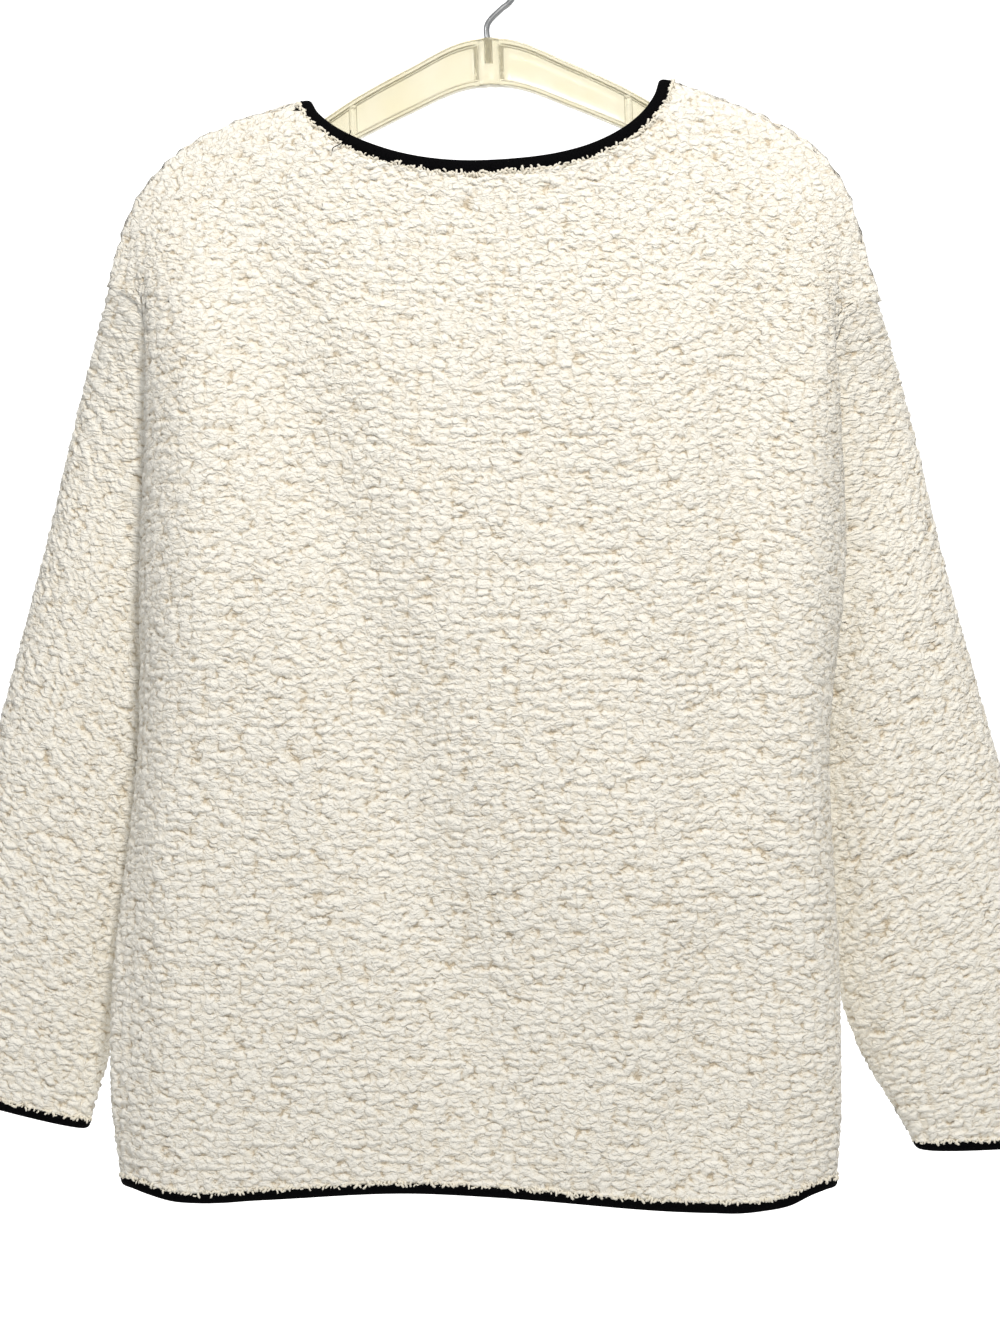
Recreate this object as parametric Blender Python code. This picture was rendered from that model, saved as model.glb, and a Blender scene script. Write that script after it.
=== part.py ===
"""Sherpa fleece pullover on a moulded hanger.

The frame is +Z up with its origin at the top inside of the hook, where a rail bears. The back of the
garment faces -Y, and the wearer's left is -X. All sizes are in metres; the tables are in millimetres.
"""
import math

import bmesh
import bpy
import numpy as np

MM = 0.001

# ---------------------------------------------------------------- driving dimensions
WALL = 4.0 * MM                 # sherpa fleece: knit ground and the root of its pile
SEAM_GAP = 0.4 * MM             # two pieces stay this far apart at a seam
ARMHOLE_EASE = 1.05 * MM         # a sleeve is drawn back this far from its armhole, where the seam twists
UNDERARM_EASE = 0.8 * MM        # and a panel this far at the underarm point, where four edges meet
NECK_BAND = 9.5 * MM            # height of the binding at the neck
BAND_GAP = 0.6 * MM             # between the cut edge and its binding
EDGE_BAND = 7.0 * MM            # height of the binding at the hem and the cuffs
BAND_PROUD = 0.6 * MM           # a binding stands this far proud of the fleece on both faces

COLUMNS = 17                    # steps across half a panel, from its middle to its seam
NECK_COLUMNS = 9                # of these, the steps that end on the neckline
COLUMN_CROWD = 0.28             # how much closer together the columns are toward the seam
ARMHOLE_ROWS = 9                # rows of a panel that end on the armhole
SIDE_ROWS = 11                  # rows of a panel that end on the side seam
SLEEVE_ROWS = 15                # rings of a sleeve

BACK_NECK_DROP = 57.0           # neckline below the line between the two neck points
FRONT_NECK_DROP = 108.0
NECK_MIDDLE = 5.0               # the garment has slipped this far to the wearer's right
BACK_NECK_DEPTH = -27.0         # how far the neckline stands off the shoulder seam
FRONT_NECK_DEPTH = 31.0
NECK_TURN = math.radians(75)    # how far round its curve the neckline has come at the neck points
NECK_FULLNESS_BACK = {-1: 2.0, 1: 2.6}      # 2 is an ellipse, more is squarer; the right side hangs fuller
NECK_FULLNESS_FRONT = 2.2
NECK_ROUND = 0.022              # the edge has turned to face straight out this far from the shoulder line

# Shoulder seam from the neck point over the end of the hanger arm to the armhole.
# name, left out, left z, right out, right z
SHOULDER = (
    ("neck", 119.7, -97.1, 120.7, -83.6),
    ("slope", 167.0, -112.8, 169.0, -102.0),
    ("tip", 203.4, -136.4, 208.0, -124.5),
    ("turn", 223.0, -161.0, 231.0, -153.0),
    ("cap", 233.5, -190.0, 241.7, -189.4),
    ("armhole", 239.8, -215.0, 251.9, -223.9),
)

# Armhole seam from the shoulder seam down to the underarm point.
# name, left out, left z, right out, right z, y on the back, y on the front
ARMHOLE = (
    ("shoulder", 239.8, -215.0, 251.9, -223.9, 0.0, 0.0),
    ("cap", 231.0, -220.0, 239.5, -230.0, -7.0, 12.0),
    ("crease", 220.0, -229.0, 228.0, -238.5, -6.0, 20.0),
    ("upper", 213.5, -262.0, 221.0, -268.0, -1.0, 26.0),
    ("middle", 211.0, -320.0, 221.5, -325.0, 4.0, 29.0),
    ("lower", 208.0, -385.0, 219.0, -388.0, 10.0, 26.0),
    ("underarm", 202.0, -430.0, 211.0, -432.0, 18.0, 18.0),
)

# Level sections of the body.
# name, z, left half width, right half width, depth of the back, depth of the front
BODY = (
    ("shoulder", -100.0, 206.0, 212.0, 22.0, 22.0),
    ("crease", -194.0, 213.0, 217.0, 31.0, 30.0),
    ("upper", -240.0, 216.0, 223.0, 37.0, 35.0),
    ("chest", -307.0, 215.5, 226.0, 43.0, 39.0),
    ("bust", -372.0, 219.5, 231.0, 46.0, 42.0),
    ("underarm", -430.0, 219.5, 227.0, 48.0, 44.0),
    ("notch", -480.0, 219.0, 219.5, 48.0, 45.0),
    ("waist", -541.0, 223.5, 219.5, 47.0, 45.0),
    ("hip", -617.0, 233.0, 224.0, 46.0, 44.0),
    ("low", -700.0, 238.0, 225.5, 45.0, 42.0),
    ("hem", -790.0, 231.0, 224.0, 43.0, 40.0),
)
EDGE_Y = -11.0                  # the body is widest here, a little to the back
SEAM_Y = 9.0                    # side seam at the hem
SEAM_INSET = 18.0               # side seam inside the widest line
ARMHOLE_TURN = math.radians(55) # how far the section has turned in at the armhole, past the widest line
RELAX_ROUNDS = 10               # rounds that even the cloth out between its edges
CORNER_REACH = 4                # steps of the armhole over which the cloth turns round the end of the shoulder
CORNER_ROUNDS = 3

# Lower edge of the binding along the hem of the back, which hangs in a shallow wave.
# name, x, z
HEM_BACK = (
    ("left seam", -214.0, -786.0),
    ("left corner", -204.0, -789.5),
    ("left dip", -182.0, -791.8),
    ("left quarter", -139.0, -789.3),
    ("arch", -46.0, -784.6),
    ("right quarter", 47.0, -790.6),
    ("right dip", 134.0, -797.0),
    ("right dip end", 171.0, -797.2),
    ("right corner", 198.0, -791.0),
    ("right seam", 207.0, -786.0),
)
HEM_FRONT_Z = -793.0

# Sleeve from the armhole to the cuff, as the outer and inner points of each slanting ring.
# name, share of the way, outer out, outer z, inner out, inner z, y of the middle, half depth
SLEEVE_LEFT = (
    ("armhole", 0.00, 239.8, -215.0, 202.0, -430.0, 10.0, 20.0),
    ("upper", 0.13, 262.0, -279.0, 203.0, -466.0, 32.0, 24.0),
    ("above elbow", 0.30, 281.5, -359.0, 209.0, -518.0, 36.0, 27.0),
    ("elbow", 0.53, 313.0, -480.0, 220.0, -597.0, 36.0, 27.0),
    ("below elbow", 0.77, 346.0, -603.0, 236.0, -676.0, 34.0, 24.0),
    ("cuff", 1.00, 376.5, -719.0, 257.0, -751.0, 32.0, 18.0),
)
SLEEVE_RIGHT = (
    ("armhole", 0.00, 251.9, -223.9, 212.0, -432.0, 10.0, 20.0),
    ("upper", 0.13, 275.7, -289.5, 213.0, -468.0, 32.0, 24.0),
    ("above elbow", 0.30, 295.5, -372.0, 217.0, -520.0, 36.0, 27.0),
    ("elbow", 0.53, 325.0, -482.0, 222.0, -602.0, 36.0, 27.0),
    ("below elbow", 0.77, 364.0, -616.0, 238.0, -690.0, 34.0, 24.0),
    ("cuff", 1.00, 406.0, -757.0, 279.0, -765.0, 32.0, 18.0),
)

# Broad soft folds of the hanging body, as troughs (negative) and ridges along a line.
# name, face, x and z of the upper end, x and z of the lower end, half width, height
FOLDS = (
    ("long diagonal trough", "back", -138.0, -205.0, 10.0, -745.0, 42.0, -5.0),
    ("right trough", "back", 166.0, -235.0, 146.0, -580.0, 20.0, -6.0),
    ("middle trough", "back", 68.0, -330.0, 92.0, -520.0, 30.0, -2.5),
    ("left ridge", "back", -182.0, -190.0, -176.0, -470.0, 22.0, 3.0),
    ("front left trough", "front", -120.0, -240.0, -60.0, -700.0, 38.0, -5.0),
    ("front right trough", "front", 110.0, -230.0, 135.0, -640.0, 30.0, -5.0),
)

# Hanger, about its own middle before it tips with the garment.
HANGER_TILT = math.radians(2.2)
HANGER_HALF_SPAN = 204.0
HANGER_WEB = 1.3                # half the web's thickness
HANGER_RIM_HALF_DEPTH = 4.0
HANGER_RIM_HEIGHT = 3.4
HANGER_HUB_HALF = 5.4           # half thickness of the hub that takes the hook
HANGER_RIB_X = 88.0             # upright rib inside each arm
HANGER_RIB_HALF = 3.4
# name, out from the middle, z of the top edge, z of the lower edge
HANGER_ARM = (
    ("hub", 0.0, -56.0, -86.0),
    ("hub side", 14.0, -57.5, -87.5),
    ("neck", 52.0, -74.0, -102.0),
    ("rib", 84.0, -90.0, -116.5),
    ("shoulder", 120.0, -111.5, -132.0),
    ("slope", 169.0, -131.0, -150.5),
    ("bend", 187.0, -141.5, -157.5),
    ("tip", 199.0, -154.0, -165.0),
    ("end", 204.0, -160.0, -166.5),
)
HOOK_WIRE = 2.0 * MM            # radius of the wire
HOOK_RADIUS = 21.0 * MM         # to the middle of the wire
HOOK_STEM_DEPTH = 16.0 * MM     # length of stem inside the hub
HOOK_CLEARANCE = 0.3 * MM
HOOK_NECK = 7.0 * MM            # from the bottom of the circle to the top of the straight stem
HOOK_START = -60                # degrees round the circle, from where the wire joins it to its tip
HOOK_END = 210

FLEECE = ("sherpa_fleece", (0.86, 0.82, 0.72, 1.0), 0.95, 0.0)
BINDING = ("black_binding", (0.012, 0.012, 0.013, 1.0), 0.75, 0.0)
PLASTIC = ("clear_moulded_plastic", (0.84, 0.80, 0.64, 1.0), 0.18, 0.0)
STEEL = ("plated_steel_wire", (0.72, 0.72, 0.72, 1.0), 0.22, 1.0)


# ---------------------------------------------------------------- scene and materials
def empty_scene():
    for obj in list(bpy.data.objects):
        bpy.data.objects.remove(obj, do_unlink=True)


def new_collection(name):
    collection = bpy.data.collections.new(name)
    bpy.context.scene.collection.children.link(collection)
    return collection


def material(finish):
    name, colour, roughness, metallic = finish
    made = bpy.data.materials.get(name)
    if made is None:
        made = bpy.data.materials.new(name)
        made.use_nodes = True
        shader = made.node_tree.nodes["Principled BSDF"]
        shader.inputs["Base Color"].default_value = colour
        shader.inputs["Roughness"].default_value = roughness
        shader.inputs["Metallic"].default_value = metallic
    return made


# ---------------------------------------------------------------- curves through table rows
def smooth_curve(knots, places):
    """Read a Catmull-Rom curve through knots (rows of numbers) at places from 0 to 1, evenly by length."""
    knots = np.asarray(knots, float)
    padded = np.vstack([2 * knots[0] - knots[1], knots, 2 * knots[-1] - knots[-2]])
    fine = []
    for i in range(len(knots) - 1):
        before, start, end, after = padded[i:i + 4]
        for t in np.linspace(0, 1, 24, endpoint=False):
            fine.append(0.5 * (2 * start + (end - before) * t
                               + (2 * before - 5 * start + 4 * end - after) * t ** 2
                               + (3 * start - before - 3 * end + after) * t ** 3))
    fine = np.array(fine + [knots[-1]])
    steps = np.linalg.norm(np.diff(fine, axis=0), axis=1)
    reach = np.concatenate([[0], np.cumsum(steps)])
    reach /= reach[-1]
    return np.column_stack([np.interp(places, reach, fine[:, k]) for k in range(fine.shape[1])])


def smooth_value(table, key, column, at):
    """Read a named table column smoothly at positions along its key column."""
    keys = np.array([row[key] for row in table])
    values = np.array([row[column] for row in table])
    if keys[0] > keys[-1]:
        keys, values = keys[::-1], values[::-1]
    slopes = np.gradient(values, keys)
    at = np.clip(at, keys[0], keys[-1])
    i = np.clip(np.searchsorted(keys, at) - 1, 0, len(keys) - 2)
    span = keys[i + 1] - keys[i]
    t = (at - keys[i]) / span
    return ((1 + 2 * t) * (1 - t) ** 2 * values[i] + t * (1 - t) ** 2 * span * slopes[i]
            + t * t * (3 - 2 * t) * values[i + 1] + t * t * (t - 1) * span * slopes[i + 1])


def by_length(x, y, places):
    """Points at places from 0 to 1 of the length of a plane curve."""
    reach = np.concatenate([[0], np.cumsum(np.hypot(np.diff(x), np.diff(y)))])
    return np.interp(places, reach / reach[-1], x), np.interp(places, reach / reach[-1], y)


# ---------------------------------------------------------------- outlines of a panel
def side_columns(side):
    """Table columns (out, z) that belong to one side."""
    return (1, 2) if side < 0 else (3, 4)


def shoulder_seam(side, count):
    out, z = side_columns(side)
    knots = [(side * row[out], 0.0, row[z]) for row in SHOULDER]
    return smooth_curve(knots, np.linspace(0, 1, count))


def neckline(side, face, count):
    """Half of the neckline, from the middle of the panel to the neck point."""
    left, right = shoulder_seam(-1, 2)[0], shoulder_seam(1, 2)[0]
    angle = np.linspace(0, NECK_TURN, 60)
    reach = (right[0] - NECK_MIDDLE) if side > 0 else (NECK_MIDDLE - left[0])
    power = 2 / (NECK_FULLNESS_FRONT if face == "front" else NECK_FULLNESS_BACK[side])
    drop, depth = (BACK_NECK_DROP, BACK_NECK_DEPTH) if face == "back" else (FRONT_NECK_DROP, FRONT_NECK_DEPTH)
    end = math.cos(NECK_TURN) ** power
    fall = np.clip((np.cos(angle) ** power - end) / (1 - end), 0, 1)
    x = NECK_MIDDLE + side * reach * (np.sin(angle) / math.sin(NECK_TURN)) ** power
    level = np.interp(x, (left[0], right[0]), (left[2], right[2]))
    line = np.column_stack([x, depth * fall ** 0.6, level - drop * fall])
    return smooth_curve(line, np.linspace(0, 1, count))


def body_size(column, z):
    return smooth_value(BODY, 1, column, z)


def half_width(side, z):
    return body_size(2 if side < 0 else 3, z)


def seam_line(side, face):
    """The outer edge of a panel: its armhole, then its side seam to the hem."""
    out, z = side_columns(side)
    y = 5 if face == "back" else 6
    armhole = [(side * row[out], row[y], row[z]) for row in ARMHOLE]
    upper = smooth_curve(armhole, np.linspace(0, 1, ARMHOLE_ROWS + 1))
    start, end = armhole[-1], hem_height(side * 210.0, face)
    share = np.linspace(0, 1, SIDE_ROWS + 1)[1:]
    level = start[2] + (end - start[2]) * share
    side_x = side * (half_width(side, level) - SEAM_INSET)
    side_y = start[1] + (SEAM_Y - start[1]) * share
    return np.vstack([upper, np.column_stack([side_x, side_y, level])])


def hem_height(x, face):
    """Cut edge of the fleece above the hem binding."""
    wave = smooth_value(HEM_BACK, 1, 2, x)
    if face == "front":
        ends = abs(np.asarray(x)) / 210.0
        wave = HEM_FRONT_Z + (HEM_BACK[0][2] - HEM_FRONT_Z) * np.clip(ends, 0, 1) ** 4
    return wave + EDGE_BAND / MM


def half_section(side, face, z, seam, seam_turn):
    """Level section of half the body, from its middle to the seam point."""
    turn = np.linspace(0, math.pi / 2, 40)
    if face == "back":
        out = half_width(side, z)
        depth = body_size(4, z)
        across = out * np.sin(turn) ** 0.68
        along = EDGE_Y - (depth + EDGE_Y) * np.cos(turn) ** 0.68
        wrap = np.linspace(0, seam_turn, 20)[1:]
        inward = (1 - np.cos(wrap)) / (1 - math.cos(seam_turn))
        forward = np.sin(wrap) / math.sin(seam_turn)
        across = np.concatenate([across, out + (abs(seam[0]) - out) * inward])
        along = np.concatenate([along, EDGE_Y + (seam[1] - EDGE_Y) * forward])
    else:
        depth = body_size(5, z)
        across = abs(seam[0]) * np.sin(turn)
        along = seam[1] + (depth - seam[1]) * np.cos(turn) ** 2.2
    share = np.linspace(0, 1, COLUMNS + 1)
    x, y = by_length(across, along, share + COLUMN_CROWD * share * (1 - share))
    return side * x, y


def fold_height(face, x, z):
    """How far the broad folds lift or sink the cloth."""
    height = np.zeros_like(x)
    for _, on_face, x1, z1, x2, z2, width, depth in FOLDS:
        if on_face != face:
            continue
        t = (z1 - z) / (z1 - z2)
        fade = np.clip(np.minimum(t + 0.25, 1.25 - t) / 0.5, 0, 1)
        away = (x - (x1 + (x2 - x1) * t)) / width
        height += depth * np.exp(-away ** 2) * fade ** 2 * (3 - 2 * fade)
    return height


def half_panel(side, face):
    """Outer points of half a panel, as rows from the top edge to the hem."""
    neck = neckline(side, face, NECK_COLUMNS + 1)
    shoulder = shoulder_seam(side, COLUMNS - NECK_COLUMNS + 1)
    top = np.vstack([neck, shoulder[1:]])
    seam = seam_line(side, face)
    share = (seam[:, 2] - seam[0, 2]) / (seam[-1, 2] - seam[0, 2])
    below = np.clip((np.arange(len(seam)) - ARMHOLE_ROWS + 1) / 4, 0, 1)
    turns = ARMHOLE_TURN + (math.pi / 2 - ARMHOLE_TURN) * below
    bottom_x, _ = half_section(side, face, seam[-1, 2], seam[-1], turns[-1])
    bottom = hem_height(bottom_x, face)
    rows = []
    for j, edge in enumerate(seam):
        z = top[:, 2] + (bottom - top[:, 2]) * share[j]
        columns = [half_section(side, face, level, edge, turns[j]) for level in z]
        x = np.array([c[0][i] for i, c in enumerate(columns)])
        y = np.array([c[1][i] for i, c in enumerate(columns)])
        if j == 0:
            lift_x, lift_y = top[:, 0] - x, top[:, 1] - y
        fall = top[:, 2] - z
        x = x + lift_x * np.exp(-fall / 35.0)
        y = y + lift_y * np.exp(-(fall / 30.0) ** 0.6)
        x[-1], y[-1], z[-1] = edge
        rows.append(np.column_stack([x, y, z]))
    return np.array(rows)


def relax(points, rounds):
    """Even the cloth out between its fixed edges, without drawing it in; its hem slides level.

    Under the neckline the cloth is held, so that its edge stays where it was cut.
    """
    free = np.ones(points.shape[:2] + (1,))
    reach = NECK_COLUMNS + 2
    free[:7, COLUMNS - reach:COLUMNS + reach + 1] = np.linspace(0, 1, 7)[:, None, None]
    for step in (0.5, -0.52) * rounds:
        moved = points.copy()
        beside = points[1:-1, :-2] + points[1:-1, 2:] + points[:-2, 1:-1] + points[2:, 1:-1]
        moved[1:-1, 1:-1] += step * free[1:-1, 1:-1] * (beside / 4 - points[1:-1, 1:-1])
        hem = (points[-1, :-2] + points[-1, 2:]) / 2 - points[-1, 1:-1]
        moved[-1, 1:-1, :2] += step * hem[:, :2]
        points = moved
    return points


def panel_points(face):
    left = half_panel(-1, face)
    right = half_panel(1, face)
    points = relax(np.concatenate([left[:, ::-1], right[:, 1:]], axis=1), RELAX_ROUNDS)
    fall = np.clip((points[:1, :, 2] - points[:, :, 2]) / 80.0, 0, 1)
    lift = fold_height(face, points[:, :, 0], points[:, :, 2]) * fall
    points[:, :, 1] += lift * (-1 if face == "back" else 1)
    return points * MM


# ---------------------------------------------------------------- sleeves
def sleeve_ring(table, side, way, columns):
    """A slanting ring from its outer point, round the back, to its inner point and back by the front."""
    read = [smooth_value(table, 1, k, way) for k in range(2, 8)]
    outer = np.array([side * read[0], read[1]])
    inner = np.array([side * read[2], read[3]])
    turn = np.linspace(0, 2 * math.pi, columns, endpoint=False)
    along = np.sign(np.cos(turn)) * np.abs(np.cos(turn)) ** 0.88
    middle, half = (outer + inner) / 2, (outer - inner) / 2
    x = middle[0] + half[0] * along
    z = middle[1] + half[1] * along
    y = read[4] - read[5] * np.sign(np.sin(turn)) * np.abs(np.sin(turn)) ** 0.88
    return np.column_stack([x, y, z]) * MM


def sleeve_points(side, back, front):
    """Outer points of a sleeve, from the armhole edges of the two panels to the cuff."""
    table = SLEEVE_LEFT if side < 0 else SLEEVE_RIGHT
    edge = 0 if side < 0 else -1
    armhole = np.vstack([back[:ARMHOLE_ROWS + 1, edge], front[1:ARMHOLE_ROWS, edge][::-1]])
    rings = []
    for j, way in enumerate(np.linspace(0, 1, SLEEVE_ROWS + 1)):
        ring = sleeve_ring(table, side, way, len(armhole))
        start = sleeve_ring(table, side, 0.0, len(armhole))
        rings.append(ring + (armhole - start) * math.exp(-(way / 0.09) ** 1.3))
    return np.array(rings)


# ---------------------------------------------------------------- walls
def unit(vectors):
    return vectors / np.maximum(np.linalg.norm(vectors, axis=-1, keepdims=True), 1e-12)


def outward(points, closed, flip):
    """Unit normals of a grid of points, turned outwards."""
    if closed:
        across = np.roll(points, -1, axis=1) - np.roll(points, 1, axis=1)
    else:
        across = np.gradient(points, axis=1)
    down = np.gradient(points, axis=0)
    normal = unit(np.cross(across, down))
    return -normal if flip else normal


def share_normals(one, other):
    """Give both sides of a seam the same normals, so their edges lie side by side."""
    both = unit(one + other)
    one[:] = both
    other[:] = both


def turn_slowly(ring, reach, rounds):
    """Even out the normals of a closed ring within a few steps of its first point."""
    ring[:] = unit(ring)
    for _ in range(rounds):
        even = unit(np.roll(ring, 1, axis=0) + ring + np.roll(ring, -1, axis=0))
        ring[:reach + 1] = even[:reach + 1]
        ring[-reach:] = even[-reach:]


def neck_normals(ring):
    """Normals round the neckline: up over the shoulders at the neck points, straight out below them."""
    onward = unit(np.roll(ring, -1, axis=0) - np.roll(ring, 1, axis=0))
    facing = np.clip(ring[:, 1] / NECK_ROUND, -1, 1)
    flat = 1 - np.abs(facing)
    wanted = np.column_stack([0.2 * np.sign(ring[:, 0]) * flat, facing, flat + 0.12])
    return unit(wanted - onward * np.sum(wanted * onward, axis=1)[:, None])


def drawn_back(edge, beside, turns):
    """Unit steps from an edge into its piece, square to the edge."""
    if turns:
        along = unit(np.roll(edge, -1, axis=0) - np.roll(edge, 1, axis=0))
    else:
        along = unit(np.gradient(edge, axis=0))
    step = unit(beside - edge)
    return unit(step - along * np.sum(step * along, axis=1)[:, None])


def hold_apart(points, closed):
    """Draw the edges of a piece back by half a seam gap, and a sleeve by its ease at the armhole."""
    moved = points.copy()
    half = SEAM_GAP / 2
    moved[0] += drawn_back(points[0], points[1], closed) * (ARMHOLE_EASE if closed else half)
    moved[-1] += drawn_back(points[-1], points[-2], closed) * half
    if not closed:
        side = np.full((len(points), 1), half)
        side[ARMHOLE_ROWS - 1:ARMHOLE_ROWS + 1] = UNDERARM_EASE
        moved[:, 0] += drawn_back(points[:, 0], points[:, 1], False) * side
        moved[:, -1] += drawn_back(points[:, -1], points[:, -2], False) * side
    return moved


def add_object(name, vertices, faces, finish, collection):
    mesh = bpy.data.meshes.new(name)
    mesh.from_pydata([tuple(v) for v in vertices], [], faces)
    shape = bmesh.new()
    shape.from_mesh(mesh)
    bmesh.ops.recalc_face_normals(shape, faces=shape.faces)
    shape.to_mesh(mesh)
    shape.free()
    mesh.materials.append(material(finish))
    mesh.shade_smooth()
    mesh.set_sharp_from_angle(angle=math.radians(50))
    obj = bpy.data.objects.new(name, mesh)
    collection.objects.link(obj)
    return obj


def wall(name, outer, normals, closed, finish, collection):
    """A cloth wall between an outer grid and the same grid set in by its thickness."""
    inner = hold_apart(outer - normals * WALL, closed)
    outer = hold_apart(outer, closed)
    rows, columns = outer.shape[:2]
    vertices = np.vstack([outer.reshape(-1, 3), inner.reshape(-1, 3)])
    layer = rows * columns

    def at(j, i, deep):
        return deep * layer + j * columns + i % columns

    faces = []
    across = columns if closed else columns - 1
    for j in range(rows - 1):
        for i in range(across):
            faces.append((at(j, i, 0), at(j, i + 1, 0), at(j + 1, i + 1, 0), at(j + 1, i, 0)))
            faces.append((at(j, i, 1), at(j + 1, i, 1), at(j + 1, i + 1, 1), at(j, i + 1, 1)))
    for j in (0, rows - 1):
        for i in range(across):
            faces.append((at(j, i, 0), at(j, i, 1), at(j, i + 1, 1), at(j, i + 1, 0)))
    if not closed:
        for i in (0, columns - 1):
            for j in range(rows - 1):
                faces.append((at(j, i, 0), at(j + 1, i, 0), at(j + 1, i, 1), at(j, i, 1)))
    return add_object(name, vertices, faces, finish, collection)


def band(name, edge, normals, away, height, collection):
    """A binding: a ring of rounded section that stands on a cut edge and runs all the way round."""
    onward = unit(np.roll(edge, -1, axis=0) - np.roll(edge, 1, axis=0))
    square = unit(np.cross(onward, normals))
    away = square * np.sign(np.sum(square * away))
    thick = WALL + 2 * BAND_PROUD
    profile = []                 # (share of the way out from the cut edge, depth below the outer face)
    for out, deep in ((0.0, 0.0), (0.72, 0.0), (1.0, 0.24), (1.0, 0.76), (0.72, 1.0), (0.0, 1.0)):
        profile.append((BAND_GAP + out * (height - BAND_GAP), deep * thick - BAND_PROUD))
    count, around = len(profile), len(edge)
    vertices = [p + a * out - n * deep for p, n, a in zip(edge, normals, away) for out, deep in profile]
    faces = []
    for i in range(around):
        ahead = (i + 1) % around
        for k in range(count):
            beside = (k + 1) % count
            faces.append((i * count + k, ahead * count + k, ahead * count + beside, i * count + beside))
    return add_object(name, vertices, faces, BINDING, collection)


def ring_of(back, front, row, first, last):
    """A closed ring: along the back from column first to last, and home along the front."""
    return np.vstack([back[row, first:last + 1], front[row, first + 1:last][::-1]])


def make_garment(collection):
    grids = {"back": panel_points("back"), "front": panel_points("front")}
    grids["left"] = sleeve_points(-1, grids["back"], grids["front"])
    grids["right"] = sleeve_points(1, grids["back"], grids["front"])
    normals = {
        "back": outward(grids["back"], False, True),
        "front": outward(grids["front"], False, False),
        "left": outward(grids["left"], True, True),
        "right": outward(grids["right"], True, False),
    }
    seam = ARMHOLE_ROWS
    neck = (COLUMNS - NECK_COLUMNS, COLUMNS + NECK_COLUMNS)
    back, front = normals["back"], normals["front"]
    share_normals(back[0, :neck[0] + 1], front[0, :neck[0] + 1])
    share_normals(back[0, neck[1]:], front[0, neck[1]:])
    for edge, sleeve in ((0, "left"), (-1, "right")):
        share_normals(back[seam:, edge], front[seam:, edge])
        ring = normals[sleeve]
        share_normals(back[1:seam, edge], ring[0, 1:seam])
        share_normals(front[1:seam, edge], ring[0, seam + 1:][::-1])
        ring[0, 0] = back[0, edge] + ring[0, 0]
        turn_slowly(ring[0], CORNER_REACH, CORNER_ROUNDS)
        reach = CORNER_REACH + 1
        back[:reach, edge] = ring[0, :reach]
        front[:reach, edge] = np.roll(ring[0][::-1], 1, axis=0)[:reach]
    neck_edge = ring_of(grids["back"], grids["front"], 0, *neck)
    neck_turned = neck_normals(neck_edge)
    half = neck[1] - neck[0]
    back[0, neck[0]:neck[1] + 1] = neck_turned[:half + 1]
    front[0, neck[0] + 1:neck[1]] = neck_turned[half + 1:][::-1]
    front[0, neck[0]], front[0, neck[1]] = neck_turned[0], neck_turned[half]

    wall("back_panel", grids["back"], back, False, FLEECE, collection)
    wall("front_panel", grids["front"], front, False, FLEECE, collection)
    wall("sleeve_left", grids["left"], normals["left"], True, FLEECE, collection)
    wall("sleeve_right", grids["right"], normals["right"], True, FLEECE, collection)

    to_front = np.roll(neck_edge, -1, axis=0) - np.roll(neck_edge, 1, axis=0)
    band("neck_binding", neck_edge, neck_turned, np.cross(neck_turned, to_front), NECK_BAND, collection)
    last = 2 * COLUMNS
    down = {face: unit(grids[face][-1] - grids[face][-2])[None] for face in ("back", "front")}
    band("hem_binding", ring_of(grids["back"], grids["front"], -1, 0, last), ring_of(back, front, -1, 0, last),
         ring_of(down["back"], down["front"], 0, 0, last), EDGE_BAND, collection)
    for sleeve in ("left", "right"):
        ring = grids[sleeve]
        band("cuff_binding_" + sleeve, ring[-1], normals[sleeve][-1], unit(ring[-1] - ring[-2]), EDGE_BAND,
             collection)


# ---------------------------------------------------------------- hanger
def bump(x, middle, half):
    """1 over a short flat stretch about middle, falling to 0 at its sides."""
    return float(np.clip(1.5 - abs(x - middle) / half, 0, 1))


def hanger_section(x):
    """The I-shaped section of the hanger at x, as (y, z) pairs."""
    top = smooth_value(HANGER_ARM, 1, 2, abs(x))
    low = smooth_value(HANGER_ARM, 1, 3, abs(x))
    web = HANGER_WEB
    web += (HANGER_HUB_HALF - HANGER_WEB) * bump(x, 0.0, 7.0)
    web += (HANGER_RIB_HALF - HANGER_WEB) * bump(abs(x), HANGER_RIB_X, 1.6)
    rim = max(HANGER_RIM_HALF_DEPTH, web + 0.2)
    height = min(HANGER_RIM_HEIGHT, 0.3 * (top - low))
    right = [(rim, top - 0.8), (rim, top - height), (web, top - height - 0.8),
             (web, low + height + 0.8), (rim, low + height), (rim, low + 0.8)]
    crown = [(rim - 0.9, low), (0.9 - rim, low)]
    left = [(-y, z) for y, z in right[::-1]]
    return right + crown + left + [(0.9 - rim, top), (rim - 0.9, top)]


def tilted(point):
    """Tip a point of the hanger about the top of the hook, the wearer's left side lower."""
    x, y, z = point
    turn_x = x * math.cos(HANGER_TILT) + z * math.sin(HANGER_TILT) * -1
    turn_z = z * math.cos(HANGER_TILT) + x * math.sin(HANGER_TILT)
    return turn_x * MM, y * MM, turn_z * MM


def hanger_stations():
    """Stations along the hanger, closer where a rib or the hub begins."""
    half = [0.0, 3.5, 7.0, 10.5, 14.0, 26.0, 39.0, 52.0, 64.0, 76.0, HANGER_RIB_X - 2.4, HANGER_RIB_X - 0.8,
            HANGER_RIB_X + 0.8, HANGER_RIB_X + 2.4, 104.0, 120.0, 136.0, 152.0, 169.0, 179.0, 188.0, 195.0, 200.0,
            HANGER_HALF_SPAN]
    return [-x for x in half[:0:-1]] + half


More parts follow.
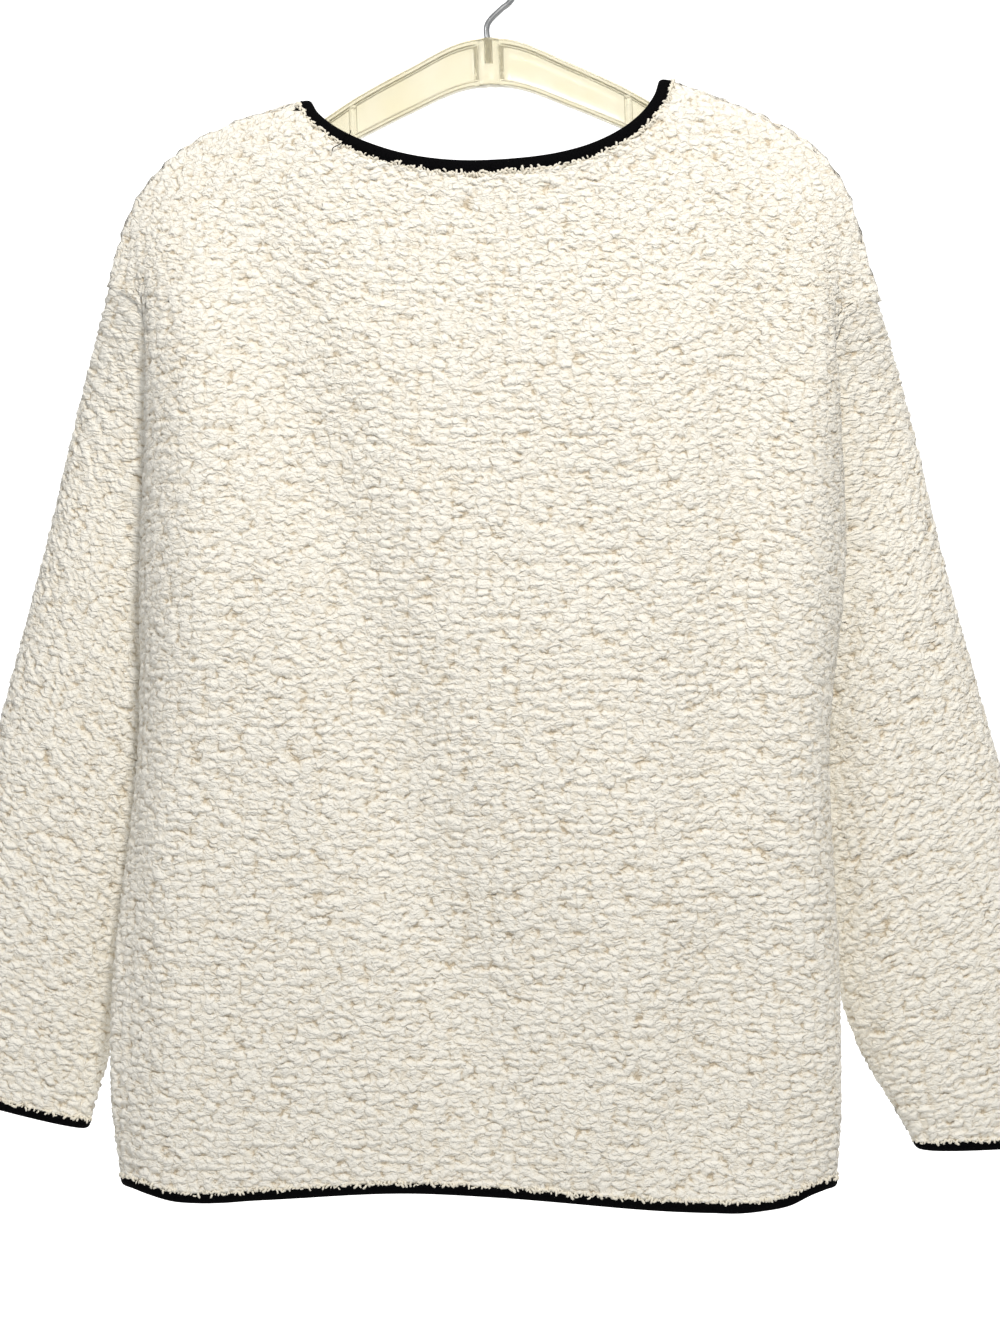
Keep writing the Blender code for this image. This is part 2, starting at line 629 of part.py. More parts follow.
def make_hanger(collection, cutters):
    stations = hanger_stations()
    sections = [hanger_section(x) for x in stations]
    count = len(sections[0])
    vertices = [tilted((x, y, z)) for x, section in zip(stations, sections) for y, z in section]
    faces = [tuple(range(count)), tuple((len(stations) - 1) * count + k for k in range(count))]
    for i in range(len(stations) - 1):
        for k in range(count):
            beside = (k + 1) % count
            faces.append((i * count + k, (i + 1) * count + k, (i + 1) * count + beside, i * count + beside))
    body = add_object("hanger_body", vertices, faces, PLASTIC, collection)

    hub_top = smooth_value(HANGER_ARM, 1, 2, 0.0) * MM
    bpy.ops.mesh.primitive_cylinder_add(vertices=20, radius=HOOK_WIRE + HOOK_CLEARANCE,
                                        depth=2 * (HOOK_STEM_DEPTH + HOOK_CLEARANCE),
                                        location=tilted((0.0, 0.0, hub_top / MM)),
                                        rotation=(0.0, -HANGER_TILT, 0.0))
    socket = bpy.context.object
    socket.name = "hook_socket_cutter"
    for home in list(socket.users_collection):
        home.objects.unlink(socket)
    cutters.objects.link(socket)
    socket.hide_render = True
    socket.display_type = "WIRE"
    cut = body.modifiers.new("hook_socket", "BOOLEAN")
    cut.operation = "DIFFERENCE"
    cut.solver = "EXACT"
    cut.object = socket
    return hub_top


def make_hook(hub_top, collection):
    """Wire hook: a stem from the hub that swings into three quarters of a circle."""
    centre_z = HOOK_WIRE - HOOK_RADIUS
    foot_z = hub_top - HOOK_STEM_DEPTH
    neck_z = centre_z - HOOK_RADIUS - HOOK_NECK
    stem = [(-z * math.sin(HANGER_TILT), z) for z in np.linspace(foot_z, neck_z, 3)]
    turns = [math.radians(degrees) for degrees in range(HOOK_START, HOOK_END + 1, 15)]
    arc = [(HOOK_RADIUS * math.cos(a), centre_z + HOOK_RADIUS * math.sin(a)) for a in turns]
    route = smooth_curve(stem + arc, np.linspace(0, 1, 36))
    curve = bpy.data.curves.new("hanger_hook", "CURVE")
    curve.dimensions = "3D"
    curve.bevel_depth = HOOK_WIRE
    curve.bevel_resolution = 3
    curve.use_fill_caps = True
    spline = curve.splines.new("POLY")
    spline.points.add(len(route) - 1)
    for point, (x, z) in zip(spline.points, route):
        point.co = (x, 0.0, z, 1.0)
    curve.materials.append(material(STEEL))
    hook = bpy.data.objects.new("hanger_hook", curve)
    collection.objects.link(hook)
    return hook


def main():
    empty_scene()
    collection = new_collection("sherpa_pullover_on_hanger")
    cutters = new_collection("cutters")
    make_garment(collection)
    hub_top = make_hanger(collection, cutters)
    make_hook(hub_top, collection)


main()
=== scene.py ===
# %% [markdown]
# # A sherpa fleece pullover on a clear hanger
#
# The pullover is cut from a cream pile fabric: a knit ground whose loops are brushed and tumbled until they
# curl. It hangs from a moulded hanger, back outwards, with black knit bindings at the neck, hem and cuffs.
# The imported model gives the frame: the places of its parts and the size that nothing here may leave.

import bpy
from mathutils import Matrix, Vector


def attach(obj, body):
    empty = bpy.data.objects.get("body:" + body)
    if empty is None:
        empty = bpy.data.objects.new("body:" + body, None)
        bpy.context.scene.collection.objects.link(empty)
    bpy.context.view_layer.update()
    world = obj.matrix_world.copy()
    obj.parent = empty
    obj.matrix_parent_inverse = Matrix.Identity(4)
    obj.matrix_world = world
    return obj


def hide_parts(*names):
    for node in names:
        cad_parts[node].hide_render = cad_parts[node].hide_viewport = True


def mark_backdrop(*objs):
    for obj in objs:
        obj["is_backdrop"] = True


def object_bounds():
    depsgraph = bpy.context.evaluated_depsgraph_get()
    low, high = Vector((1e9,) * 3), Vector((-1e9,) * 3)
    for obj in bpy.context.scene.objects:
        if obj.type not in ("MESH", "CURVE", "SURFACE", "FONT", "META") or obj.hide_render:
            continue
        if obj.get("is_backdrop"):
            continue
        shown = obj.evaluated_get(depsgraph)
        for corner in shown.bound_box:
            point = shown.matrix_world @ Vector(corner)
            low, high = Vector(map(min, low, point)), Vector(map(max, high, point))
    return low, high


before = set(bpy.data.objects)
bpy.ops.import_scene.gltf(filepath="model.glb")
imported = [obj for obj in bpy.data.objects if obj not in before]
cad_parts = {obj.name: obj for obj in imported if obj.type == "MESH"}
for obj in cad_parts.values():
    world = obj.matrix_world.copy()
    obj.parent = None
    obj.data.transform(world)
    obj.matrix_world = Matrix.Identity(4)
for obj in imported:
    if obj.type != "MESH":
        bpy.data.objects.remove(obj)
cad_low, cad_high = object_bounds()
print("frame size", [round(high - low, 3) for low, high in zip(cad_low, cad_high)])

# %% Modules
import math

import bmesh
import bpy
import numpy as np

MM = 0.001
scene = bpy.context.scene


def new_object(name, data):
    """An object that holds the data, linked to the scene."""
    made = bpy.data.objects.new(name, data)
    scene.collection.objects.link(made)
    return made


print("sizes in millimetres are times", MM)

# %% [markdown]
# ## Camera
#
# A camera's lens and distance set the perspective of the whole object, so it comes before any shape. A
# garment on a rail is looked at from about twice an arm's length, level with its middle, and square to its
# back.

# %% Make the camera
VIEW_DISTANCE = 1.5             # from the cloth of the back
CLOTH_PLANE = -0.045            # where that cloth hangs
VIEW_HEIGHT = 0.8265            # what the frame takes in, from top to bottom, at the cloth
VIEW_MIDDLE = (0.0099, -0.4567)  # x and z of the middle of the frame
SENSOR = 36.0
eye = bpy.data.cameras.new("studio_camera")
eye.sensor_width = SENSOR
eye.lens = SENSOR * VIEW_DISTANCE / VIEW_HEIGHT
camera = new_object("studio_camera", eye)
camera.location = (VIEW_MIDDLE[0], CLOTH_PLANE - VIEW_DISTANCE, VIEW_MIDDLE[1])
camera.rotation_euler = (math.radians(90), 0.0, 0.0)
scene.camera = camera
print("lens", round(eye.lens, 1), "mm")

# %% [markdown]
# ## The sizes of the cut
#
# Cloth is a sheet that follows its own seams. A dressmaker describes it by a few lines: the shoulder seam,
# the armhole, the neckline, the side and the hem. The tables below hold those lines as they hang, in
# millimetres, from the top inside of the hook. Modelling from named lines keeps neighbouring pieces meeting
# at the same seam, which sculpted shapes would not.

# %% Sizes
WALL = 4.0 * MM                 # knit ground and the root of the pile
SEAM_GAP = 0.4 * MM             # between two pieces, inside; sizes without MM are in millimetres already
NECK_BAND = 9.5 * MM
EDGE_BAND = 7.0 * MM
BAND_GAP = 0.6 * MM
BAND_PROUD = 0.6 * MM
COLUMNS, NECK_COLUMNS, COLUMN_CROWD = 17, 9, 0.28
ARMHOLE_ROWS, SIDE_ROWS, SLEEVE_ROWS = 9, 11, 15
BACK_NECK_DROP, FRONT_NECK_DROP, NECK_MIDDLE = 57.0, 108.0, 5.0
BACK_NECK_DEPTH, FRONT_NECK_DEPTH = -27.0, 31.0
NECK_TURN = math.radians(75)
NECK_FULLNESS_BACK, NECK_FULLNESS_FRONT = {-1: 2.0, 1: 2.6}, 2.2
NECK_ROUND = 0.022
EDGE_Y, SEAM_Y, SEAM_INSET = -11.0, 9.0, 18.0
ARMHOLE_TURN = math.radians(55)
RELAX_ROUNDS, CORNER_REACH, CORNER_ROUNDS = 10, 4, 3
HEM_FRONT_Z, HEM_HALF = -793.0, 210.0
BACK_CORNER, FRONT_CORNER, SLEEVE_CORNER = 0.68, 2.2, 0.88      # powers that square or round a section
TOP_REACH, TOP_REACH_DEEP = 35.0, 30.0          # how far down the shoulder's line is felt, out and in depth
SLEEVE_REACH = 0.09                             # share of a sleeve in which the armhole's line is felt
FOLDS_FULL = 0.08                               # metres below the top where folds have their whole height
KNOT_STEPS = 24                                 # points read between two knots of a curve

# %% Lines of the cut
# name, left out, left z, right out, right z
SHOULDER = (
    ("neck", 119.7, -97.1, 120.7, -83.6),
    ("slope", 167.0, -112.8, 169.0, -102.0),
    ("tip", 203.4, -136.4, 208.0, -124.5),
    ("turn", 223.0, -161.0, 231.0, -153.0),
    ("cap", 233.5, -190.0, 241.7, -189.4),
    ("armhole", 239.8, -215.0, 251.9, -223.9),
)
# name, left out, left z, right out, right z, y on the back, y on the front
ARMHOLE = (
    ("shoulder", 239.8, -215.0, 251.9, -223.9, 0.0, 0.0),
    ("cap", 231.0, -220.0, 239.5, -230.0, -7.0, 12.0),
    ("crease", 220.0, -229.0, 228.0, -238.5, -6.0, 20.0),
    ("upper", 213.5, -262.0, 221.0, -268.0, -1.0, 26.0),
    ("middle", 211.0, -320.0, 221.5, -325.0, 4.0, 29.0),
    ("lower", 208.0, -385.0, 219.0, -388.0, 10.0, 26.0),
    ("underarm", 202.0, -430.0, 211.0, -432.0, 18.0, 18.0),
)
print(len(SHOULDER), "points down a shoulder,", len(ARMHOLE), "round an armhole")

# %% Lines of the body and the hem
# name, z, left half width, right half width, depth of the back, depth of the front
BODY = (
    ("shoulder", -100.0, 206.0, 212.0, 22.0, 22.0),
    ("crease", -194.0, 213.0, 217.0, 31.0, 30.0),
    ("upper", -240.0, 216.0, 223.0, 37.0, 35.0),
    ("chest", -307.0, 215.5, 226.0, 43.0, 39.0),
    ("bust", -372.0, 219.5, 231.0, 46.0, 42.0),
    ("underarm", -430.0, 219.5, 227.0, 48.0, 44.0),
    ("notch", -480.0, 219.0, 219.5, 48.0, 45.0),
    ("waist", -541.0, 223.5, 219.5, 47.0, 45.0),
    ("hip", -617.0, 233.0, 224.0, 46.0, 44.0),
    ("low", -700.0, 238.0, 225.5, 45.0, 42.0),
    ("hem", -790.0, 231.0, 224.0, 43.0, 40.0),
)
# name, x, z
HEM_BACK = (
    ("left seam", -214.0, -786.0),
    ("left corner", -204.0, -789.5),
    ("left dip", -182.0, -791.8),
    ("left quarter", -139.0, -789.3),
    ("arch", -46.0, -784.6),
    ("right quarter", 47.0, -790.6),
    ("right dip", 134.0, -797.0),
    ("right dip end", 171.0, -797.2),
    ("right corner", 198.0, -791.0),
    ("right seam", 207.0, -786.0),
)
print(len(BODY), "levels down the body,", len(HEM_BACK), "points along the hem")

# %% Lines of the sleeves
# name, share of the way, outer out, outer z, inner out, inner z, y of the middle, half depth
SLEEVE_LEFT = (
    ("armhole", 0.00, 239.8, -215.0, 202.0, -430.0, 10.0, 20.0),
    ("upper", 0.13, 262.0, -279.0, 203.0, -466.0, 32.0, 24.0),
    ("above elbow", 0.30, 281.5, -359.0, 209.0, -518.0, 36.0, 27.0),
    ("elbow", 0.53, 313.0, -480.0, 220.0, -597.0, 36.0, 27.0),
    ("below elbow", 0.77, 346.0, -603.0, 236.0, -676.0, 34.0, 24.0),
    ("cuff", 1.00, 376.5, -719.0, 257.0, -751.0, 32.0, 18.0),
)
SLEEVE_RIGHT = (
    ("armhole", 0.00, 251.9, -223.9, 212.0, -432.0, 10.0, 20.0),
    ("upper", 0.13, 275.7, -289.5, 213.0, -468.0, 32.0, 24.0),
    ("above elbow", 0.30, 295.5, -372.0, 217.0, -520.0, 36.0, 27.0),
    ("elbow", 0.53, 325.0, -482.0, 222.0, -602.0, 36.0, 27.0),
    ("below elbow", 0.77, 364.0, -616.0, 238.0, -690.0, 34.0, 24.0),
    ("cuff", 1.00, 406.0, -757.0, 279.0, -765.0, 32.0, 18.0),
)
print(len(SLEEVE_LEFT), "rings down each sleeve")

# %% [markdown]
# ## Folds
#
# A heavy pile cloth falls in a few broad, soft folds. Each is a line down the cloth with a width and a
# height, so it can be placed where the cloth really sinks or lifts. A cloth simulation would invent its
# own.

# %% Folds
# name, face, x and z of the upper end, x and z of the lower end, half width, height
FOLDS = (
    ("long diagonal trough", "back", -138.0, -205.0, 10.0, -745.0, 34.0, -11.0),
    ("right trough", "back", 166.0, -235.0, 146.0, -580.0, 24.0, -10.0),
    ("left side hollow", "back", -224.0, -240.0, -228.0, -760.0, 17.0, -12.0),
    ("right side hollow", "back", 228.0, -300.0, 228.0, -640.0, 14.0, -9.0),
    ("middle trough", "back", 68.0, -330.0, 92.0, -520.0, 24.0, -5.0),
    ("low middle trough", "back", 44.0, -610.0, 54.0, -725.0, 18.0, -4.0),
    ("low right trough", "back", 150.0, -620.0, 132.0, -775.0, 30.0, -9.0),
    ("left ridge", "back", -182.0, -190.0, -176.0, -470.0, 22.0, 7.0),
    ("front left trough", "front", -120.0, -240.0, -60.0, -700.0, 38.0, -5.0),
    ("front right trough", "front", 110.0, -230.0, 135.0, -640.0, 30.0, -5.0),
)
print(len(FOLDS), "folds")


# %% [markdown]
# ## From lines to cloth
#
# A smooth curve through the knots of each line gives its points at even lengths, and a coarse grid of
# points joins the lines: rows from the neck and shoulder down to the hem, columns from one seam to the
# other.

# %% Curves
def catmull_rom(before, start, end, after, t):
    """A cubic from start to end that runs on smoothly from the points before and after them."""
    return 0.5 * (2 * start + (end - before) * t + (2 * before - 5 * start + 4 * end - after) * t ** 2
                  + (3 * start - before - 3 * end + after) * t ** 3)


def lengths_along(points):
    """How far along a line of points each of them lies."""
    return np.concatenate([[0], np.cumsum(np.linalg.norm(np.diff(points, axis=0), axis=1))])


def smooth_curve(knots, places):
    """A smooth curve through knots, read at places from 0 to 1 of its length."""
    knots = np.asarray(knots, float)
    padded = np.vstack([2 * knots[0] - knots[1], knots, 2 * knots[-1] - knots[-2]])
    fine = [catmull_rom(*padded[i:i + 4], t) for i in range(len(knots) - 1)
            for t in np.linspace(0, 1, KNOT_STEPS, endpoint=False)]
    fine = np.array(fine + [knots[-1]])
    reach = lengths_along(fine)
    reach /= reach[-1]
    return np.column_stack([np.interp(places, reach, fine[:, k]) for k in range(fine.shape[1])])


print("half way down the shoulder", smooth_curve([row[1:] for row in SHOULDER], [0.5]).round(1))


# %% Read a table smoothly
def smooth_value(table, key, column, at):
    """A table column read smoothly at positions along its key column."""
    keys = np.array([row[key] for row in table])
    values = np.array([row[column] for row in table])
    if keys[0] > keys[-1]:
        keys, values = keys[::-1], values[::-1]
    slopes = np.gradient(values, keys)
    at = np.clip(at, keys[0], keys[-1])
    i = np.clip(np.searchsorted(keys, at) - 1, 0, len(keys) - 2)
    span = keys[i + 1] - keys[i]
    t = (at - keys[i]) / span
    return ((1 + 2 * t) * (1 - t) ** 2 * values[i] + t * (1 - t) ** 2 * span * slopes[i]
            + t * t * (3 - 2 * t) * values[i + 1] + t * t * (t - 1) * span * slopes[i + 1])


def by_length(x, y, places):
    """Points at places from 0 to 1 of the length of a plane curve."""
    reach = np.concatenate([[0], np.cumsum(np.hypot(np.diff(x), np.diff(y)))])
    return np.interp(places, reach / reach[-1], x), np.interp(places, reach / reach[-1], y)


print("half width at the chest", float(smooth_value(BODY, 1, 2, -307.0)))


# %% Edges of a panel
def shoulder_seam(side, count):
    out, z = (1, 2) if side < 0 else (3, 4)
    return smooth_curve([(side * row[out], 0.0, row[z]) for row in SHOULDER], np.linspace(0, 1, count))


def neckline(side, face, count):
    """Half of the neckline, from the middle of the panel to the neck point."""
    left, right = shoulder_seam(-1, 2)[0], shoulder_seam(1, 2)[0]
    angle = np.linspace(0, NECK_TURN, 60)
    reach = (right[0] - NECK_MIDDLE) if side > 0 else (NECK_MIDDLE - left[0])
    power = 2 / (NECK_FULLNESS_FRONT if face == "front" else NECK_FULLNESS_BACK[side])
    drop, depth = (BACK_NECK_DROP, BACK_NECK_DEPTH) if face == "back" else (FRONT_NECK_DROP, FRONT_NECK_DEPTH)
    end = math.cos(NECK_TURN) ** power
    fall = np.clip((np.cos(angle) ** power - end) / (1 - end), 0, 1)
    x = NECK_MIDDLE + side * reach * (np.sin(angle) / math.sin(NECK_TURN)) ** power
    level = np.interp(x, (left[0], right[0]), (left[2], right[2]))
    line = np.column_stack([x, depth * fall ** 0.6, level - drop * fall])
    return smooth_curve(line, np.linspace(0, 1, count))


print("half neckline", neckline(1, "back", 5)[-1].round(1))


# %% The side seam and the hem
def half_width(side, z):
    return smooth_value(BODY, 1, 2 if side < 0 else 3, z)


def hem_height(x, face):
    wave = smooth_value(HEM_BACK, 1, 2, x)
    if face == "front":
        ends = abs(np.asarray(x)) / HEM_HALF
        wave = HEM_FRONT_Z + (HEM_BACK[0][2] - HEM_FRONT_Z) * np.clip(ends, 0, 1) ** 4
    return wave + EDGE_BAND / MM


def seam_line(side, face):
    """The outer edge of a panel: its armhole, then its side seam to the hem."""
    out, z = (1, 2) if side < 0 else (3, 4)
    y = 5 if face == "back" else 6
    armhole = [(side * row[out], row[y], row[z]) for row in ARMHOLE]
    upper = smooth_curve(armhole, np.linspace(0, 1, ARMHOLE_ROWS + 1))
    start, end = armhole[-1], hem_height(side * HEM_HALF, face)
    share = np.linspace(0, 1, SIDE_ROWS + 1)[1:]
    level = start[2] + (end - start[2]) * share
    side_x = side * (half_width(side, level) - SEAM_INSET)
    side_y = start[1] + (SEAM_Y - start[1]) * share
    return np.vstack([upper, np.column_stack([side_x, side_y, level])])


print("hem at the left seam", round(float(seam_line(-1, "back")[-1, 2]), 1), "mm")


# %% Sections of the body
def half_section(side, face, z, seam, seam_turn):
    """Level section of half the body, from its middle to the seam point."""
    turn = np.linspace(0, math.pi / 2, 40)
    if face == "back":
        out = half_width(side, z)
        depth = smooth_value(BODY, 1, 4, z)
        across = out * np.sin(turn) ** BACK_CORNER
        along = EDGE_Y - (depth + EDGE_Y) * np.cos(turn) ** BACK_CORNER
        wrap = np.linspace(0, seam_turn, 20)[1:]
        inward = (1 - np.cos(wrap)) / (1 - math.cos(seam_turn))
        forward = np.sin(wrap) / math.sin(seam_turn)
        across = np.concatenate([across, out + (abs(seam[0]) - out) * inward])
        along = np.concatenate([along, EDGE_Y + (seam[1] - EDGE_Y) * forward])
    else:
        depth = smooth_value(BODY, 1, 5, z)
        across = abs(seam[0]) * np.sin(turn)
        along = seam[1] + (depth - seam[1]) * np.cos(turn) ** FRONT_CORNER
    share = np.linspace(0, 1, COLUMNS + 1)
    x, y = by_length(across, along, share + COLUMN_CROWD * share * (1 - share))
    return side * x, y


print("columns in half a section", len(half_section(1, "front", -307.0, (200.0, 9.0), math.pi / 2)[0]))


# %% Hang the panels
def half_panel(side, face):
    neck = neckline(side, face, NECK_COLUMNS + 1)
    top = np.vstack([neck, shoulder_seam(side, COLUMNS - NECK_COLUMNS + 1)[1:]])
    seam = seam_line(side, face)
    share = (seam[:, 2] - seam[0, 2]) / (seam[-1, 2] - seam[0, 2])
    below = np.clip((np.arange(len(seam)) - ARMHOLE_ROWS + 1) / 4, 0, 1)
    turns = ARMHOLE_TURN + (math.pi / 2 - ARMHOLE_TURN) * below
    bottom = hem_height(half_section(side, face, seam[-1, 2], seam[-1], turns[-1])[0], face)
    rows = []
    for j, edge in enumerate(seam):
        z = top[:, 2] + (bottom - top[:, 2]) * share[j]
        columns = [half_section(side, face, level, edge, turns[j]) for level in z]
        x = np.array([c[0][i] for i, c in enumerate(columns)])
        y = np.array([c[1][i] for i, c in enumerate(columns)])
        if j == 0:
            lift_x, lift_y = top[:, 0] - x, top[:, 1] - y
        fall = top[:, 2] - z
        x = x + lift_x * np.exp(-fall / TOP_REACH)
        y = y + lift_y * np.exp(-(fall / TOP_REACH_DEEP) ** 0.6)
        x[-1], y[-1], z[-1] = edge
        rows.append(np.column_stack([x, y, z]))
    return np.array(rows)


print("half a back panel", half_panel(-1, "back").shape)


# %% Let the cloth settle
def relax(points, rounds):
    """Even the cloth out between its edges, without drawing it in; held under the neckline."""
    free = np.ones(points.shape[:2] + (1,))
    reach = NECK_COLUMNS + 2
    free[:7, COLUMNS - reach:COLUMNS + reach + 1] = np.linspace(0, 1, 7)[:, None, None]
    for step in (0.5, -0.52) * rounds:
        moved = points.copy()
        beside = points[1:-1, :-2] + points[1:-1, 2:] + points[:-2, 1:-1] + points[2:, 1:-1]
        moved[1:-1, 1:-1] += step * free[1:-1, 1:-1] * (beside / 4 - points[1:-1, 1:-1])
        hem = (points[-1, :-2] + points[-1, 2:]) / 2 - points[-1, 1:-1]
        moved[-1, 1:-1, :2] += step * hem[:, :2]
        points = moved
    return points


def panel_points(face):
    left, right = half_panel(-1, face), half_panel(1, face)
    return relax(np.concatenate([left[:, ::-1], right[:, 1:]], axis=1), RELAX_ROUNDS) * MM


panels = {face: panel_points(face) for face in ("back", "front")}
print("back panel grid", panels["back"].shape)


# %% Fold the panels
def fold_height(face, x, z):
    """How far the broad folds lift or sink the cloth, in millimetres."""
    height = np.zeros_like(x)
    for _, on_face, x1, z1, x2, z2, width, depth in FOLDS:
        if on_face == face:
            t = (z1 - z) / (z1 - z2)
            fade = np.clip(np.minimum(t + 0.25, 1.25 - t) / 0.5, 0, 1)
            away = (x - (x1 + (x2 - x1) * t)) / width
            height += depth * np.exp(-away ** 2) * fade ** 2 * (3 - 2 * fade)
    return height


for face, points in panels.items():
    fall = np.clip((points[:1, :, 2] - points[:, :, 2]) / FOLDS_FULL, 0, 1)
    lift = fold_height(face, points[:, :, 0] / MM, points[:, :, 2] / MM) * fall * MM
    points[:, :, 1] += lift * (-1 if face == "back" else 1)
    print(face, "deepest fold", round(float(lift.min()) / MM, 1), "mm")


# %% Sleeves
def sleeve_ring(table, side, way, columns):
    """A slanting ring from its outer point, round the back, to its inner point and back by the front."""
    read = [smooth_value(table, 1, k, way) for k in range(2, 8)]
    outer = np.array([side * read[0], read[1]])
    inner = np.array([side * read[2], read[3]])
    turn = np.linspace(0, 2 * math.pi, columns, endpoint=False)
    along = np.sign(np.cos(turn)) * np.abs(np.cos(turn)) ** SLEEVE_CORNER
    middle, half = (outer + inner) / 2, (outer - inner) / 2
    y = read[4] - read[5] * np.sign(np.sin(turn)) * np.abs(np.sin(turn)) ** SLEEVE_CORNER
    return np.column_stack([middle[0] + half[0] * along, y, middle[1] + half[1] * along]) * MM


def sleeve_points(side):
    table = SLEEVE_LEFT if side < 0 else SLEEVE_RIGHT
    edge = 0 if side < 0 else -1
    behind, before = panels["back"][:ARMHOLE_ROWS + 1, edge], panels["front"][1:ARMHOLE_ROWS, edge]
    armhole = np.vstack([behind, before[::-1]])
    rings = []
    for way in np.linspace(0, 1, SLEEVE_ROWS + 1):
        start = sleeve_ring(table, side, 0.0, len(armhole))
        ring = sleeve_ring(table, side, way, len(armhole))
        rings.append(ring + (armhole - start) * math.exp(-(way / SLEEVE_REACH) ** 1.3))
    return np.array(rings)


sleeves = {"left": sleeve_points(-1), "right": sleeve_points(1)}
print("sleeve grid", sleeves["left"].shape)


# %% Which way the cloth faces
def unit(vectors):
    return vectors / np.maximum(np.linalg.norm(vectors, axis=-1, keepdims=True), 1e-12)


def outward(points, closed, flip):
    if closed:
        across = np.roll(points, -1, axis=1) - np.roll(points, 1, axis=1)
    else:
        across = np.gradient(points, axis=1)
    normal = unit(np.cross(across, np.gradient(points, axis=0)))
    return -normal if flip else normal


def share_normals(one, other):
    both = unit(one + other)
    one[:] = both
    other[:] = both


def turn_slowly(ring, reach, rounds):
    ring[:] = unit(ring)
    for _ in range(rounds):
        even = unit(np.roll(ring, 1, axis=0) + ring + np.roll(ring, -1, axis=0))
        ring[:reach + 1] = even[:reach + 1]
        ring[-reach:] = even[-reach:]


def neck_normals(ring):
    """Up over the shoulders at the neck points, and straight out below them."""
    onward = unit(np.roll(ring, -1, axis=0) - np.roll(ring, 1, axis=0))
    facing = np.clip(ring[:, 1] / NECK_ROUND, -1, 1)
    flat = 1 - np.abs(facing)
    wanted = np.column_stack([0.2 * np.sign(ring[:, 0]) * flat, facing, flat + 0.12])
    return unit(wanted - onward * np.sum(wanted * onward, axis=1)[:, None])


print("normals of length", float(np.linalg.norm(unit(np.array([3.0, 4.0])))))


# %% Share the normals at the seams
def ring_of(back, front, row, first, last):
    """Along the back from column first to last, and home along the front."""
    return np.vstack([back[row, first:last + 1], front[row, first + 1:last][::-1]])


facing = {
    "back": outward(panels["back"], False, True),
    "front": outward(panels["front"], False, False),
    "left": outward(sleeves["left"], True, True),
    "right": outward(sleeves["right"], True, False),
}
seam, neck = ARMHOLE_ROWS, (COLUMNS - NECK_COLUMNS, COLUMNS + NECK_COLUMNS)
back, front = facing["back"], facing["front"]
share_normals(back[0, :neck[0] + 1], front[0, :neck[0] + 1])
share_normals(back[0, neck[1]:], front[0, neck[1]:])
for edge, arm in ((0, "left"), (-1, "right")):
    share_normals(back[seam:, edge], front[seam:, edge])
    ring = facing[arm]
    share_normals(back[1:seam, edge], ring[0, 1:seam])
    share_normals(front[1:seam, edge], ring[0, seam + 1:][::-1])
    ring[0, 0] = back[0, edge] + ring[0, 0]
    turn_slowly(ring[0], CORNER_REACH, CORNER_ROUNDS)
    back[:CORNER_REACH + 1, edge] = ring[0, :CORNER_REACH + 1]
    front[:CORNER_REACH + 1, edge] = np.roll(ring[0][::-1], 1, axis=0)[:CORNER_REACH + 1]
neck_edge = ring_of(panels["back"], panels["front"], 0, *neck)
neck_facing = neck_normals(neck_edge)
half_ring = neck[1] - neck[0]
back[0, neck[0]:neck[1] + 1] = neck_facing[:half_ring + 1]
front[0, neck[0] + 1:neck[1]] = neck_facing[half_ring + 1:][::-1]
front[0, neck[0]], front[0, neck[1]] = neck_facing[0], neck_facing[half_ring]
print("middle of the back faces", back[10, 17].round(2))

# %% [markdown]
# ## A finer cloth
#
# The lumps of the pile are 6 to 8 mm across, so the coarse grid is read again every couple of millimetres:
# closer down the cloth than across it, because the lumps lie in rows. Reading a cubic curve along rows and
# columns keeps the folds smooth. Only the outer face needs this; the knit inside stays coarse.

# %% Read a grid more finely
def cubic_read(points, places, closed):
    """Rows of points read at places given in steps along the first axis."""
    count = len(points)
    if closed:
        padded = np.concatenate([points[-1:], points, points[:2]])
    else:
        padded = np.concatenate([2 * points[:1] - points[1:2], points, 2 * points[-1:] - points[-2:-1]])
    first = np.clip(np.floor(places).astype(int), 0, count - (1 if closed else 2))
    t = (places - first).reshape((-1,) + (1,) * (points.ndim - 1))
    return catmull_rom(*(padded[first + k] for k in range(4)), t)


def even_places(points, axis, closed, count):
    """Places in steps along an axis that are evenly spaced on the cloth, on average."""
    ahead = np.concatenate([points, points.take([0], axis)], axis) if closed else points
    steps = np.linalg.norm(np.diff(ahead, axis=axis), axis=-1).mean(axis=1 - axis)
    reach = np.concatenate([[0], np.cumsum(steps)])
    goal = np.linspace(0, reach[-1], count + 1)
    return np.interp(goal[:-1] if closed else goal, reach, np.arange(len(reach)))


def read_at(grid, down, across, closed):
    """A grid read at places down its rows and across its columns."""
    tall = cubic_read(grid, down, False)
    return np.swapaxes(cubic_read(np.swapaxes(tall, 0, 1), across, closed), 0, 1)


def finer(grid, rows, columns, closed):
    """A grid read at rows + 1 by columns + 1 even places; a closed grid has no repeated last column."""
    down, across = even_places(grid, 0, False, rows), even_places(grid, 1, closed, columns)
    return read_at(grid, down, across, closed), down, across


print("finer grid", finer(panels["back"], 40, 60, False)[0].shape)

# %% [markdown]
# ## Nodes
#
# Blender keeps materials and Geometry Nodes in the same kind of tree. One small function adds a node to
# either, so that the pile can be described once: it lifts the cloth as real height, and colours it in the
# same places.

